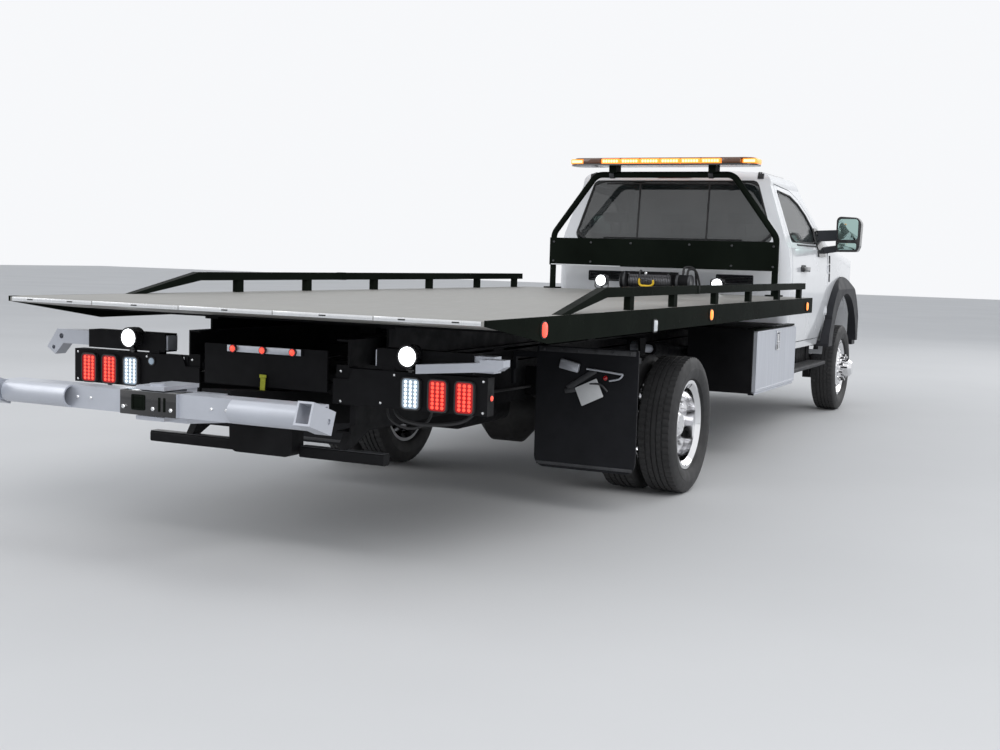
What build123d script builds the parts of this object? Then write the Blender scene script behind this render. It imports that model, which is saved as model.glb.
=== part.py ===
from build123d import *
import math
import os

# Flatbed tow truck, millimetres.
# While it is modelled, Y = 0 is the front axle, +Y runs to the tail, +X is the truck's left
# and Z = 0 is the road.
# Each finished piece is then moved along Y so that the origin is under the middle of the whole truck.

# Chassis
wheelbase = 5207.0
rail_half = 432.0
rail_width = 80.0
rail_bottom = 570.0
rail_top = 790.0
rail_wall = 8.0
rail_front_y = -790.0
rail_rear_y = 7760.0
cross_member_depth = 80.0
engine_width = 620.0
engine_length = 820.0
engine_height = 620.0
fit_gap = 0.3
swing_gap = 6.0

# Wheels
tyre_radius = 405.0
tyre_width = 225.0
rim_radius = 262.0
rim_half = 84.0
rim_lip = 8.0
front_track_half = 942.5
dual_inner_half = 823.5
dual_spacing = 254.0
spindle_radius = 34.0
rear_spindle_radius = 52.0
kingpin_half = 775.0
steer_limit = 35.0
hand_hole_count = 8
hand_hole_radius = 19.0
hand_hole_line = 182.0
axle_tube_radius = 58.0
rear_tube_radius = 70.0
diff_radius = 205.0
leaf_width = 76.0
leaf_thick = 14.0
leaf_rise = 70.0
# Springs: x, y of the axle, height of the pack's underside, length, leaves
springs = (
    (472.0, 0.0, tyre_radius + axle_tube_radius - 8, 1180.0, 3),
    (505.0, wheelbase, tyre_radius + rear_tube_radius - 6, 1420.0, 4),
)

# Cab
cab_back_y = 2159.0
cab_front_y = 560.0
cab_floor_z = 660.0
cab_belt_z = 1500.0
cab_roof_z = 2125.0
cab_half = 1003.0
cab_wall = 45.0
sill_width = 75.0
floor_bottom_z = 800.0
floor_top_z = 830.0
# Seams between the cab's front, floor, back and roof rails: y, lowest z, highest z
cab_seams = ((770.0, 600.0, 900.0), (1955.0, 600.0, 900.0), (1250.0, 1880.0, 2050.0),
             (1990.0, 1980.0, 2050.0))
roof_split_z = 2042.0
hinge_heights = (960.0, 1330.0)
door_front_y = 650.0
door_rear_y = 2012.0
door_bottom_z = 722.0
door_cut_y = 762.0
door_cut_z = 905.0
door_thick = 70.0
door_gap = 7.0
door_rear_gap = 13.0
door_hinge_x = 1004.0
door_hinge_y = 642.5
door_limit = 62.0
window_bottom_z = 1545.0
glass_thick = 6.0
windscreen_base_y = 500.0
windscreen_bulge = 170.0
windscreen_run = 650.0
windscreen_rise = 480.0

# Front end
nose_y = -800.0
bumper_front_y = -970.0
hood_half = 790.0
hood_rear_y = 262.0
hood_rear_z = 1580.0
hood_front_z = 1425.0
hood_low_z = 1345.0
nose_fall = 0.11
nose_taper_y = -250.0
hood_thick = 30.0
hood_hinge_x = 600.0
hood_hinge_y = 281.0
hood_hinge_z = 1532.0
cowl_low_z = 1508.0
cowl_top_z = 1538.0
hood_pin_radius = 6.0
hood_limit = 50.0
fender_rear_y = 635.0
fender_half = 1000.0
fender_wall = 22.0
fender_bottom_z = 690.0
arch_radius = 590.0
arch_centre_z = 510.0
flare_width = 165.0
flare_reach = 62.0

# Bed
bed_half = 1234.0
bed_front_y = 2314.0
bed_tail_y = 8088.0
bed_kink_y = 7495.0
deck_z = 1110.0
deck_thick = 6.0
side_depth = 116.0
side_thick = 12.0
tail_thick = 24.0
cross_depth = 70.0
cross_pitch = 400.0
cross_width = 60.0
beam_half = 485.0
beam_width = 76.0
beam_web = 12.0
beam_bottom = 884.0
slide_travel = 3400.0
tilt_limit = 16.0
tilt_pivot_y = 7750.0
tilt_pivot_z = 820.0
tilt_pin_radius = 24.0
pivot_plate_thick = 22.0
rail_tube = 46.0
rail_top_z = 1224.0
rail_line = 1196.0
rail_foot_y = 7330.0
rail_bend_y = 6780.0
rail_end_y = 2520.0
rail_posts_y = (6410.0, 5710.0, 4905.0, 4120.0, 3335.0, 2640.0)
rail_post_width = 58.0

# Tilting subframe
sub_bottom = 800.0
sub_top = 980.0
sub_half = 432.0
sub_width = 64.0
sub_front_y = 2420.0
sub_rear_y = 7785.0
shelf_reach = 530.0
shelf_z = 872.0
shelf_thick = 10.0
lug_thick = 14.0
pad_thick = 11.7
slide_barrel_radius = 45.0
slide_rod_radius = 26.0
slide_barrel_front_y = 3080.0
slide_rod_end_y = slide_barrel_front_y + slide_travel + 420.0
slide_axis_z = 980.0

# Tilt cylinders
tilt_base = (2760.0, 640.0)
tilt_eye = (4560.0, 798.0)
tilt_line = 590.0
tilt_barrel_radius = 50.0
tilt_rod_radius = 27.0
eye_radius = 44.0
eye_width = 44.0
rod_eye_width = 60.0
eye_pin_radius = 19.0

# Cab guard and light bar
guard_y = 2398.0
guard_half = 972.0
guard_top_half = 580.0
guard_shoulder_z = 1571.0
guard_top_z = 2085.0
guard_tube = 25.0
guard_bend = 110.0
plate_bottom_z = 1307.0
plate_top_z = 1535.0
bar_half = 790.0
bar_bottom_z = 2128.0
bar_top_z = 2192.0
bar_depth = 250.0

# Toolboxes
box_front_y = 2642.0
box_rear_y = 3806.0
box_bottom_z = 470.0
box_top_z = 912.0
box_inner_x = 700.0
box_outer_x = 1160.0
box_wall = 5.0
box_door_thick = 24.0
box_door_x = 1190.0
box_door_limit = 92.0
box_hinge_radius = 4.0

# Rear lamps and guards
panel_y = 7800.0
panel_half = 1105.0
panel_inner = 460.0
panel_low_inner = 360.0
lamp_columns = (1005.0, 880.0)
white_column = 752.0
panel_bottom = 702.0
panel_top = 860.0
panel_thick = 8.0
lamp_size = (80.0, 126.0)
lamp_proud = 12.0
work_lamp_x = 745.0
work_lamp_z = 930.0
work_lamp_radius = 45.0
underride_y = 7790.0
underride_half = 630.0
underride_z = 478.0
underride_size = 50.0
saddle_x = (-195.0, 140.0)
saddle_y = (7770.0, 7860.0)
flap_y = 6130.0
flap_inner = 585.0
flap_outer = 1165.0
flap_bottom = 232.0
flap_top = 890.0
flap_thick = 10.0
arm_y = 7745.0
arm_z = 912.0
arm_size = 68.0

# Wheel lift
boom_pivot = (7020.0, 590.0)
boom_tip = (8398.0, 712.0)
boom_size = 150.0
boom_wall = 9.0
slider_size = 122.0
boom_limit = 17.0
boom_extend = 450.0
boom_outer_length = 1130.0
cross_y = 8505.0
cross_z = 742.0
cross_tube = 92.0
cross_tube_wall = 8.0
cross_half = 770.0
swivel_limit = 30.0
swivel_pin_radius = 30.0
pipe_radius = 46.0
pipe_wall = 7.0
pipe_start = 405.0
pipe_end = 745.0
receiver_x = 795.0
receiver_width = 70.0
receiver_height = 90.0
receiver_length = 152.0
receiver_wall = 8.0
receiver_pitch = 19.0

receiver_reach = receiver_length / 2 * math.cos(math.radians(receiver_pitch)) \
    + receiver_height / 2 * math.sin(math.radians(receiver_pitch))
receiver_y = cross_y + cross_tube / 2 + 38.0
truck_rear_y = receiver_y + receiver_reach
middle_y = (truck_rear_y + bumper_front_y) / 2


# Shapes used by many pieces

def block(x, y, z):
    """A box between two x values, two y values and two z values."""
    size = Box(x[1] - x[0], y[1] - y[0], z[1] - z[0])
    return Pos((x[0] + x[1]) / 2, (y[0] + y[1]) / 2, (z[0] + z[1]) / 2) * size


def side_plate(points, x, radius=0):
    """An outline of (y, z) corners, filled between two x values."""
    corners = [(x[0], y, z) for y, z in points]
    outline = FilletPolyline(*corners, radius=radius, close=True) if radius else Polyline(*corners,
                                                                                          close=True)
    return extrude(make_face(outline), amount=x[1] - x[0], dir=(1, 0, 0))


def front_plate(points, y, radius=0):
    """An outline of (x, z) corners, filled between two y values."""
    corners = [(x, y[0], z) for x, z in points]
    outline = FilletPolyline(*corners, radius=radius, close=True) if radius else Polyline(*corners,
                                                                                          close=True)
    return extrude(make_face(outline), amount=y[1] - y[0], dir=(0, 1, 0))


def floor_plate(points, z, radius=0):
    """An outline of (x, y) corners, filled between two z values."""
    corners = [(x, y, z[0]) for x, y in points]
    outline = FilletPolyline(*corners, radius=radius, close=True) if radius else Polyline(*corners,
                                                                                          close=True)
    return extrude(make_face(outline), amount=z[1] - z[0], dir=(0, 0, 1))


def bar(start, end, radius):
    """A round bar from one point to another."""
    start, end = Vector(*start), Vector(*end)
    along = end - start
    plane = Plane(origin=start, z_dir=along)
    return plane * Cylinder(radius, along.length, align=(Align.CENTER, Align.CENTER, Align.MIN))


def pipe(points, radius, bend, wall=0):
    """A bent round tube through some points."""
    path = FilletPolyline(*points, radius=bend)
    start = Plane(origin=path @ 0, z_dir=path % 0)
    tube = sweep(start * Circle(radius), path=path)
    return tube - sweep(start * Circle(radius - wall), path=path) if wall else tube


def ring(profile, centre):
    """A ring about a line along X, from (x, radius) corners round its centre."""
    turned = revolve(make_face(Polyline(*[(x, r, 0) for x, r in profile], close=True)), axis=Axis.X)
    return Pos(*centre) * turned


def other_side(shape):
    """The same piece on the truck's other side."""
    return mirror(shape, about=Plane.YZ)


def both(shape):
    """A piece and its twin on the other side, as separate solids."""
    return shape.solids() + other_side(shape).solids()


def join(shapes):
    """Several touching shapes made one."""
    whole = shapes[0]
    for shape in shapes[1:]:
        whole = whole + shape
    return whole


# Frame rails, cross members and hinge brackets

def frame_rails():
    depth = rail_top - rail_bottom
    rail = block((rail_half - rail_width, rail_half), (rail_front_y, rail_rear_y), (rail_bottom, rail_top))
    hollow = block(
        (rail_half - rail_width - 1, rail_half - rail_wall),
        (rail_front_y - 1, rail_rear_y + 1),
        (rail_bottom + rail_wall, rail_top - rail_wall),
    )
    rail = rail - hollow
    pieces = [rail, other_side(rail)]
    inner = rail_half - rail_wall - fit_gap
    centre_z = rail_top - depth / 2
    for y in (-700, 900, 2300, 3700, 4750, 5780, 6680):
        pieces.append(block(
            (-inner, inner), (y - 30, y + 30),
            (centre_z - cross_member_depth / 2, centre_z + cross_member_depth / 2),
        ))
    top = rail_top - rail_wall - fit_gap
    pieces.append(block((-inner, inner), (rail_rear_y - 90, rail_rear_y - 30), (top - 46, top)))
    face = rail_half + fit_gap
    bracket = side_plate(
        [(tilt_pivot_y - 110, rail_bottom + 40), (rail_rear_y, rail_bottom + 40),
         (tilt_pivot_y + 42, tilt_pivot_z + 40), (tilt_pivot_y - 42, tilt_pivot_z + 40)],
        (face, face + pivot_plate_thick),
    )
    pin = bar((sub_half - sub_width - 12, tilt_pivot_y, tilt_pivot_z),
              (face + pivot_plate_thick, tilt_pivot_y, tilt_pivot_z), tilt_pin_radius)
    lug_outer = tilt_line + eye_width / 2 + fit_gap
    base_lug = side_plate(
        [(tilt_base[0] - 60, rail_bottom + 10), (tilt_base[0] + 60, rail_bottom + 10),
         (tilt_base[0] + 42, tilt_base[1] + 42), (tilt_base[0] - 42, tilt_base[1] + 42)],
        (lug_outer, lug_outer + 16),
    )
    lug_inner = tilt_line - eye_width / 2 - fit_gap
    inner_lug = block((face, lug_inner), (tilt_base[0] - 60, tilt_base[0] + 60),
                      (rail_bottom, tilt_base[1] + 42))
    tie = block((face, lug_outer + 16), (tilt_base[0] - 60, tilt_base[0] + 60),
                (rail_bottom - 6, rail_bottom + 12))
    base_pin = bar((lug_inner - 5, tilt_base[0], tilt_base[1]),
                   (lug_outer + 16, tilt_base[0], tilt_base[1]), eye_pin_radius)
    side = [bracket + pin, join([base_lug, inner_lug, tie, base_pin])]
    boom_lug = side_plate(
        [(boom_pivot[0] - 90, rail_top - 60), (boom_pivot[0] + 90, rail_top - 60),
         (boom_pivot[0] + 50, boom_pivot[1] - 55), (boom_pivot[0] - 50, boom_pivot[1] - 55)],
        (boom_size / 2 + swing_gap, boom_size / 2 + swing_gap + 22),
    )
    hanger = block((-inner, inner), (boom_pivot[0] - 90, boom_pivot[0] + 90), (rail_top - 66, rail_top - 30))
    boom_pin = bar((-boom_size / 2 - swing_gap - 22, boom_pivot[0], boom_pivot[1]),
                   (boom_size / 2 + swing_gap + 22, boom_pivot[0], boom_pivot[1]), swivel_pin_radius)
    return pieces + side + [other_side(piece) for piece in side] + [join([boom_lug, other_side(boom_lug),
                                                                          hanger, boom_pin])]


def leaf_pack(x, y, low_z, length, leaves):
    """A stack of bent leaves, longest on top, with their middle at low_z."""
    width, leaf, rise = leaf_width, leaf_thick, leaf_rise
    pack = []
    for number in range(leaves):
        half = length / 2 * (1 - 0.16 * number)
        lift = rise * (half / (length / 2)) ** 2
        top = low_z + leaf * (leaves - number)
        upper = ThreePointArc((x, y - half, top + lift), (x, y, top), (x, y + half, top + lift))
        under = ThreePointArc((x, y - half, top + lift - leaf), (x, y, top - leaf),
                              (x, y + half, top + lift - leaf))
        ends = [Line(upper @ 0, under @ 0), Line(upper @ 1, under @ 1)]
        pack.append(extrude(make_face([upper, under] + ends), amount=width / 2, dir=(1, 0, 0), both=True))
    clamp = block((x - width / 2 - 14, x + width / 2 + 14), (y - 75, y + 75),
                  (low_z - 6, low_z + leaf * leaves + 14))
    return join(pack + [clamp])


def axle_front():
    z = tyre_radius
    inner = kingpin_half - 62
    tube = bar((-inner, 0, z), (inner, 0, z), axle_tube_radius)
    diff = ring([(-140, 0.01), (-140, 60), (-70, 132), (70, 132), (140, 60), (140, 0.01)], (260, 0, z))
    pieces = [tube, diff]
    for side in (-1, 1):
        yoke = block((side * inner - 26, side * inner + 26), (-40, 40), (z - 112, z + 112))
        for end in (-1, 1):
            yoke = yoke + block(
                sorted((side * inner, side * (kingpin_half + 34))), (-40, 40),
                sorted((z + end * 86, z + end * 112)),
            )
        pieces.append(yoke)
        pieces.append(leaf_pack(side * springs[0][0], *springs[0][1:]))
    return join(pieces).solids()


def knuckle():
    """Left steering knuckle with its spindle and brake disc."""
    z = tyre_radius
    core = bar((kingpin_half, 0, z - 86 + fit_gap), (kingpin_half, 0, z + 86 - fit_gap), 32)
    plate = block((kingpin_half, kingpin_half + 52), (-60, 60), (z - 72, z + 72))
    spindle = bar((kingpin_half, 0, z), (front_track_half + 120, 0, z), spindle_radius)
    disc = bar((kingpin_half + 52, 0, z), (kingpin_half + 82, 0, z), 172)
    caliper = block((kingpin_half + 36, kingpin_half + 98), (-190, -120), (z - 80, z + 80))
    return join([core, plate, spindle, disc, caliper])


def axle_rear():
    z = tyre_radius
    end = dual_inner_half + dual_spacing - 10
    tube = bar((-670, wheelbase, z), (670, wheelbase, z), rear_tube_radius)
    spindle = bar((-end, wheelbase, z), (end, wheelbase, z), rear_spindle_radius)
    wide, tall = diff_radius, diff_radius - 10
    diff = ring([(-wide, 0.01), (-wide, 80), (-90, tall), (90, tall), (wide, 80), (wide, 0.01)],
                (0, wheelbase, z))
    nose = bar((0, wheelbase - 330, z + 30), (0, wheelbase, z), 90)
    pieces = [tube, spindle, diff, nose]
    for side in (-1, 1):
        pieces.append(leaf_pack(side * springs[1][0], *springs[1][1:]))
        drum = bar((side * 600, wheelbase, z), (side * 664, wheelbase, z), 175)
        pieces.append(drum)
    return join(pieces).solids()


def spring_hangers():
    """Brackets that hold the spring ends to the frame."""
    found = []
    for x, y, low_z, length, leaves in springs:
        top = low_z + leaf_thick * leaves + leaf_rise + fit_gap
        for end in (-1, 1):
            middle = y + end * length / 2
            found.append(block((rail_half + fit_gap, x + 30), (middle - 30, middle + 30),
                               (top, rail_top - 40)))
    return found


def driveline():
    z = 525.0
    engine = block((-engine_width / 2, engine_width / 2), (-520, -520 + engine_length),
                   (560, 560 + engine_height))
    gearbox = bar((0, -520 + engine_length + fit_gap, z), (0, 1150, z), 108)
    shaft = bar((0, 1151, z - 10), (0, wheelbase - 337, tyre_radius + 30), 48)
    mount_end = rail_half - rail_wall - fit_gap
    mounts = [block(sorted((s * 300, s * mount_end)), (-300, -180), (620, 700)) for s in (-1, 1)]
    return [join([engine] + mounts), gearbox, shaft]


def fuel_tank():
    tank = block((-300, 300), (5860, 6400), (430, 690))
    tank = fillet(tank.edges().filter_by(Axis.Y), 60)
    reach = rail_half - rail_wall - fit_gap
    straps = [block((-reach, reach), (y - 25, y + 25), (690, 704)) for y in (6000, 6260)]
    return join([tank] + straps)


def exhaust():
    x, z = -215.0, 470.0
    route = [(x, 420, z), (x, 2120, z), (-520, 2430, z), (-930, 2430, z)]
    down = pipe(route, 44, 150)
    muffler = bar((x, 1200, z), (x, 1680, z), 90)
    hanger = block((-rail_half + 12, x + 60), (1420, 1460), (z + 84, rail_bottom - fit_gap))
    return join([down, muffler, hanger])


# Tyres and wheels

def tyre(x, y):
    half = tyre_width / 2
    crown = tyre_radius - 17
    seat, lip = rim_radius - rim_lip + fit_gap, rim_radius + 1
    foot = rim_half - 11
    right = [(foot, seat), (foot, lip), (half, lip + 40), (half - 8, crown), (half - 32, tyre_radius)]
    outline = [(-across, r) for across, r in right] + right[::-1]
    return ring(outline, (x, y, tyre_radius))


def front_wheel():
    """Left front wheel: its dish bulges outwards round a long hub."""
    x, z = front_track_half, tyre_radius
    flange, seat, well = rim_radius, rim_radius - 8, rim_radius - 38
    outline = [
        (-rim_half, flange), (-rim_half + 9, flange), (-rim_half + 9, seat), (rim_half - 9, seat),
        (rim_half - 9, flange), (rim_half, flange), (rim_half, seat - 12), (rim_half - 26, well - 2),
        (60, well - 16), (92, 150), (96, 100), (112, 84), (178, 78), (206, 56), (206, 0.01),
        (150, 0.01), (150, spindle_radius + fit_gap), (30, spindle_radius + fit_gap), (30, 66), (78, 74),
        (80, 148), (46, well - 22), (-rim_half + 30, well - 12), (-rim_half, seat - 12),
    ]
    wheel = ring(outline, (x, 0, z))
    return wheel - hand_holes(x + 74, 0, hand_hole_line)


def hand_holes(x, y, radius):
    """Round holes through a wheel's dish."""
    holes = []
    for number in range(hand_hole_count):
        turn = math.tau * (number + 0.5) / hand_hole_count
        place = (y + radius * math.cos(turn), tyre_radius + radius * math.sin(turn))
        holes.append(bar((x - 60, *place), (x + 60, *place), hand_hole_radius))
    return join(holes)


def rear_wheels():
    """Left pair of rear wheels, bolted face to face round one hub."""
    middle = dual_inner_half + dual_spacing / 2
    off = dual_spacing / 2
    seat, well = rim_radius - rim_lip, rim_radius - 38
    rim = [
        (off - rim_half - 6, 205), (off - rim_half, seat - 12), (off - rim_half, rim_radius),
        (off - rim_half + 9, rim_radius), (off - rim_half + 9, seat), (off + rim_half - 9, seat),
        (off + rim_half - 9, rim_radius), (off + rim_half, rim_radius), (off + rim_half, seat - 12),
        (off + rim_half - 26, well - 8), (off - rim_half + 40, well - 13),
        (off - rim_half + 10, 208), (12, 156), (12, 98),
    ]
    bore = rear_spindle_radius + fit_gap
    start, end = 690.0 - middle, 1115.0 - middle
    hub = [
        (30, 98), (70, 84), (end - 20, 78), (end, 60), (end, 0.01), (end - 14, 0.01), (end - 14, bore),
        (start, bore), (start, 110), (-30, 110), (-30, 98),
    ]
    outline = [(0, 160)] + rim + hub + [(-across, r) for across, r in rim[::-1]]
    wheel = ring(outline, (middle, wheelbase, tyre_radius))
    return wheel - hand_holes(middle, wheelbase, hand_hole_line)


# Cab shell

def cab_form(inset):
    """The cab's outer form, or the same form drawn in by a wall."""
    t = inset
    section = [
        (cab_half - 48 - t, cab_floor_z + t), (cab_half - t, 1050), (cab_half - 20 - t, cab_belt_z),
        (cab_half - 44 - t, cab_belt_z + 60), (808 - t, 1996 - t / 3), (796 - t, 2056 - t / 2),
        (738 - t, 2096 - t), (0, cab_roof_z - t),
    ]
    low, mid, belt, sill, glass_top, corner, edge, crown = [(x, 0, z) for x, z in section]
    flip = [(-x, y, z) for x, y, z in (low, mid, belt, sill, glass_top, corner, edge)]
    outline = [
        ThreePointArc(low, mid, belt), Line(belt, sill), Line(sill, glass_top),
        ThreePointArc(glass_top, corner, edge), ThreePointArc(edge, crown, flip[6]),
        ThreePointArc(flip[6], flip[5], flip[4]), Line(flip[4], flip[3]), Line(flip[3], flip[2]),
        ThreePointArc(flip[2], flip[1], flip[0]), Line(flip[0], low),
    ]
    across = Pos(0, cab_back_y, 0) * extrude(make_face(outline), amount=cab_back_y + 200, dir=(0, -1, 0))
    back = cab_back_y - t
    top = cab_roof_z - t
    side = [
        Line((0, cab_front_y + t, cab_floor_z + t), (0, back, cab_floor_z + t)),
        Line((0, back, cab_floor_z + t), (0, back, cab_belt_z)),
        Line((0, back, cab_belt_z), (0, back - 52, top - 80)),
        ThreePointArc((0, back - 52, top - 80), (0, back - 72, top - 32), (0, back - 125, top - 10)),
        ThreePointArc((0, back - 125, top - 10), (0, 1650, top), (0, 1000, top - 70)),
        Line((0, 1000, top - 70), (0, 200, top - 170)),
        Line((0, 200, top - 170), (0, 200, cab_belt_z - 40 + t)),
        Line((0, 200, cab_belt_z - 40 + t), (0, cab_front_y + t, cab_belt_z - 60 + t)),
        Line((0, cab_front_y + t, cab_belt_z - 60 + t), (0, cab_front_y + t, cab_floor_z + t)),
    ]
    along = extrude(make_face(side), amount=cab_half + 10, dir=(1, 0, 0), both=True)
    reach = cab_half + 20
    slope = windscreen_run / windscreen_rise
    drop = cab_belt_z - cab_floor_z + 100
    base = windscreen_base_y + 1.2 * t - slope * drop
    corner_r = 90.0 - t / 2
    plan = [
        ThreePointArc((-reach, base, 0), (0, base - windscreen_bulge, 0), (reach, base, 0)),
        Line((reach, base, 0), (reach, cab_back_y + 1500, 0)),
        Line((reach, cab_back_y + 1500, 0), (-reach, cab_back_y + 1500, 0)),
        Line((-reach, cab_back_y + 1500, 0), (-reach, base, 0)),
    ]
    sheared = extrude(
        Pos(0, 0, cab_belt_z - drop) * make_face(plan),
        amount=math.hypot(slope, 1) * (drop + 800), dir=(0, slope, 1),
    )
    around = floor_plate(
        [(-cab_half + t, 0), (cab_half - t, 0), (cab_half - t, back), (-cab_half + t, back)],
        (0, cab_roof_z + 50), [0, 0, corner_r, corner_r],
    )
    return across & along & sheared & around


def door_outline(grow, rear_grow):
    """Outline of a door in side view, with its window frame."""
    g = grow
    front, rear = door_front_y - g, door_rear_y + rear_grow
    return [
        (door_cut_y - g, door_bottom_z - g), (front, door_cut_z - g), (front, cab_belt_z + 20),
        (1010 - g, 1800 + g), (1230, 1918 + g), (1480, 1984 + g), (rear, 2008 + g), (rear, door_bottom_z - g),
    ]


def window_outline(shrink):
    """Outline of a door's window opening in side view."""
    s = shrink
    return [
        (door_front_y + 175 + s, window_bottom_z + 38 + s), (1085 + s, 1800 - s), (1268 + s / 2, 1888 - s),
        (1490, 1946 - s), (door_rear_y - 58 - s, 1972 - s), (door_rear_y - 58 - s, window_bottom_z + s),
        (door_front_y + 420, window_bottom_z + s),
    ]


def rear_window_outline(shrink):
    """Outline of the back window, seen from behind."""
    s = shrink
    return [(-872 + s, 1522 + s), (872 - s, 1522 + s), (704 - s, 2034 - s), (-704 + s, 2034 - s)]


def windscreen_outline(shrink):
    """Outline of the windscreen opening, seen from the front."""
    s = shrink
    return [(-858 + s, 1592 + s), (858 - s, 1592 + s), (700 - s, 2008 - s), (-700 + s, 2008 - s)]


def cab_shell():
    shell = cab_form(0) - cab_form(cab_wall)
    sides = side_plate(door_outline(door_gap, door_rear_gap), (500, 1200))
    shell = shell - sides - other_side(sides)
    shell = shell - front_plate(windscreen_outline(0), (100, 1500), 60)
    shell = shell - front_plate(rear_window_outline(0), (1950, 2300), 60)
    return shell


def cab_body(shell):
    """Floor, back wall, pillars and the hinge posts behind the fenders."""
    body = shell & block((-1100, 1100), (0, 2300), (0, roof_split_z - fit_gap))
    sill_x = cab_half - 48 - sill_width
    body = body - block((-sill_x, sill_x), (0, 2300), (0, floor_bottom_z))
    body = body + block((-sill_x, sill_x), (cab_front_y, cab_back_y - 20), (floor_bottom_z, floor_top_z))
    cowl = block((-hood_half + 10, hood_half - 10), (hood_rear_y + 6, cab_front_y + 20),
                 (cowl_low_z, cowl_top_z))
    for x in (-hood_hinge_x, hood_hinge_x):
        cowl = cowl - block((x - 45, x + 45), (hood_rear_y, hood_hinge_y + 19),
                            (cowl_low_z - 8, cowl_top_z + 12))
        cowl = cowl + bar((x - 50, hood_hinge_y, hood_hinge_z), (x + 50, hood_hinge_y, hood_hinge_z),
                          hood_pin_radius)
    body = body + cowl
    for side in (-1, 1):
        body = body + block(sorted((side * (sill_x - 35), side * sill_x)), (cab_front_y, cab_back_y - 20),
                            (cab_floor_z, floor_top_z))
    mount_x = rail_half - rail_width / 2
    for x in (-mount_x, mount_x):
        for y in (cab_front_y + 150, cab_back_y - 150):
            body = body + bar((x, y, rail_top), (x, y, floor_bottom_z), 34)
    post_x = sill_x
    for side in (-1, 1):
        behind_y = door_front_y + 30
        cut = side_plate([(0, 0), (door_cut_y, 0), (door_cut_y, door_bottom_z), (behind_y, door_cut_z - 50),
                          (behind_y, cab_belt_z + 30), (0, cab_belt_z + 30)],
                          sorted((side * (fender_half - 62), side * 1100)))
        body = body - cut
        post = block(sorted((side * (post_x - 60), side * post_x)), (cab_front_y + 10, door_front_y + 12),
                     (cab_floor_z + 10, cab_belt_z - 40))
        body = body + post
        for z in hinge_heights:
            for low in (z - 38, z + 24):
                leaf = block(sorted((side * (post_x - 10), side * (door_hinge_x + 3))),
                             (door_hinge_y - 4, door_hinge_y + 4), (low, low + 14))
                body = body + leaf
            body = body + bar((side * door_hinge_x, door_hinge_y, z - 38),
                              (side * door_hinge_x, door_hinge_y, z + 38), 4)
    vents = [block((x - 150, x + 150), (cab_back_y - 22, cab_back_y + 6), (1190, 1262)) for x in (-560, 560)]
    seams = [block((-1100, 1100), (y - fit_gap / 2, y + fit_gap / 2), (low, high)) for y, low,
             high in cab_seams]
    return (body - join(vents + seams)).solids()


def cab_roof(shell):
    roof = shell & block((-1100, 1100), (0, 2300), (roof_split_z, 2300))
    return roof


def cab_glass():
    """Windscreen and back window."""
    sheet = cab_form(14) - cab_form(14 + glass_thick)
    front = sheet & front_plate(windscreen_outline(0.5), (100, 1500), 60)
    back = sheet & front_plate(rear_window_outline(0.5), (1950, 2300), 60)
    return front.solids() + back.solids()


def door():
    """Left door with its hinge sleeves."""
    panel = cab_form(0) - cab_form(door_thick)
    upper = cab_form(0) - cab_form(cab_wall)
    outline = side_plate(door_outline(0, 0), (500, 1200))
    lower_part = panel & outline & block((888, 1200), (0, 2300), (0, window_bottom_z))
    upper_part = upper & outline & block((0, 1200), (0, 2300), (window_bottom_z, 2300))
    leaf = lower_part + upper_part - side_plate(window_outline(0), (400, 1200), 30)
    for z in hinge_heights:
        sleeve = bar((door_hinge_x, door_hinge_y, z - 24 + fit_gap),
                     (door_hinge_x, door_hinge_y, z + 24 - fit_gap), 7)
        tongue = block((door_hinge_x - 10, door_hinge_x + 3), (door_hinge_y, door_front_y + 8),
                       (z - 23, z + 23))
        bore = bar((door_hinge_x, door_hinge_y, z - 40), (door_hinge_x, door_hinge_y, z + 40), 4 + fit_gap)
        leaf = leaf + (sleeve + tongue) - bore
    return leaf


def door_glass():
    sheet = cab_form(12) - cab_form(12 + glass_thick)
    return sheet & side_plate(window_outline(0.5), (400, 1200), 30)


def mirror_left():
    """Towing mirror on two arms, with a handle plate for the door."""
    head = front_plate([(1072, 1490), (1262, 1494), (1282, 1540), (1290, 1752), (1255, 1798), (1072, 1808)],
                       (612, 708), [26, 26, 60, 60, 40, 40])
    # Arms: height at the door, height at the head
    arms = [bar((900, 960, low), (1080, 665, high), 21) for low, high in ((1640, 1662), (1486, 1522))]
    sail = side_plate([(760, 1440), (1040, 1440), (1040, 1560), (985, 1690), (860, 1690)], (800, 1100), 12)
    sail = (sail & cab_form(-14)) - cab_form(-0.5)
    return join([head] + arms) - cab_form(-0.5) + sail


def handle():
    return block((cab_half - 4, cab_half + 30), (1510, 1730), (1308, 1346)) - cab_form(-fit_gap)


# Nose of the truck

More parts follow.
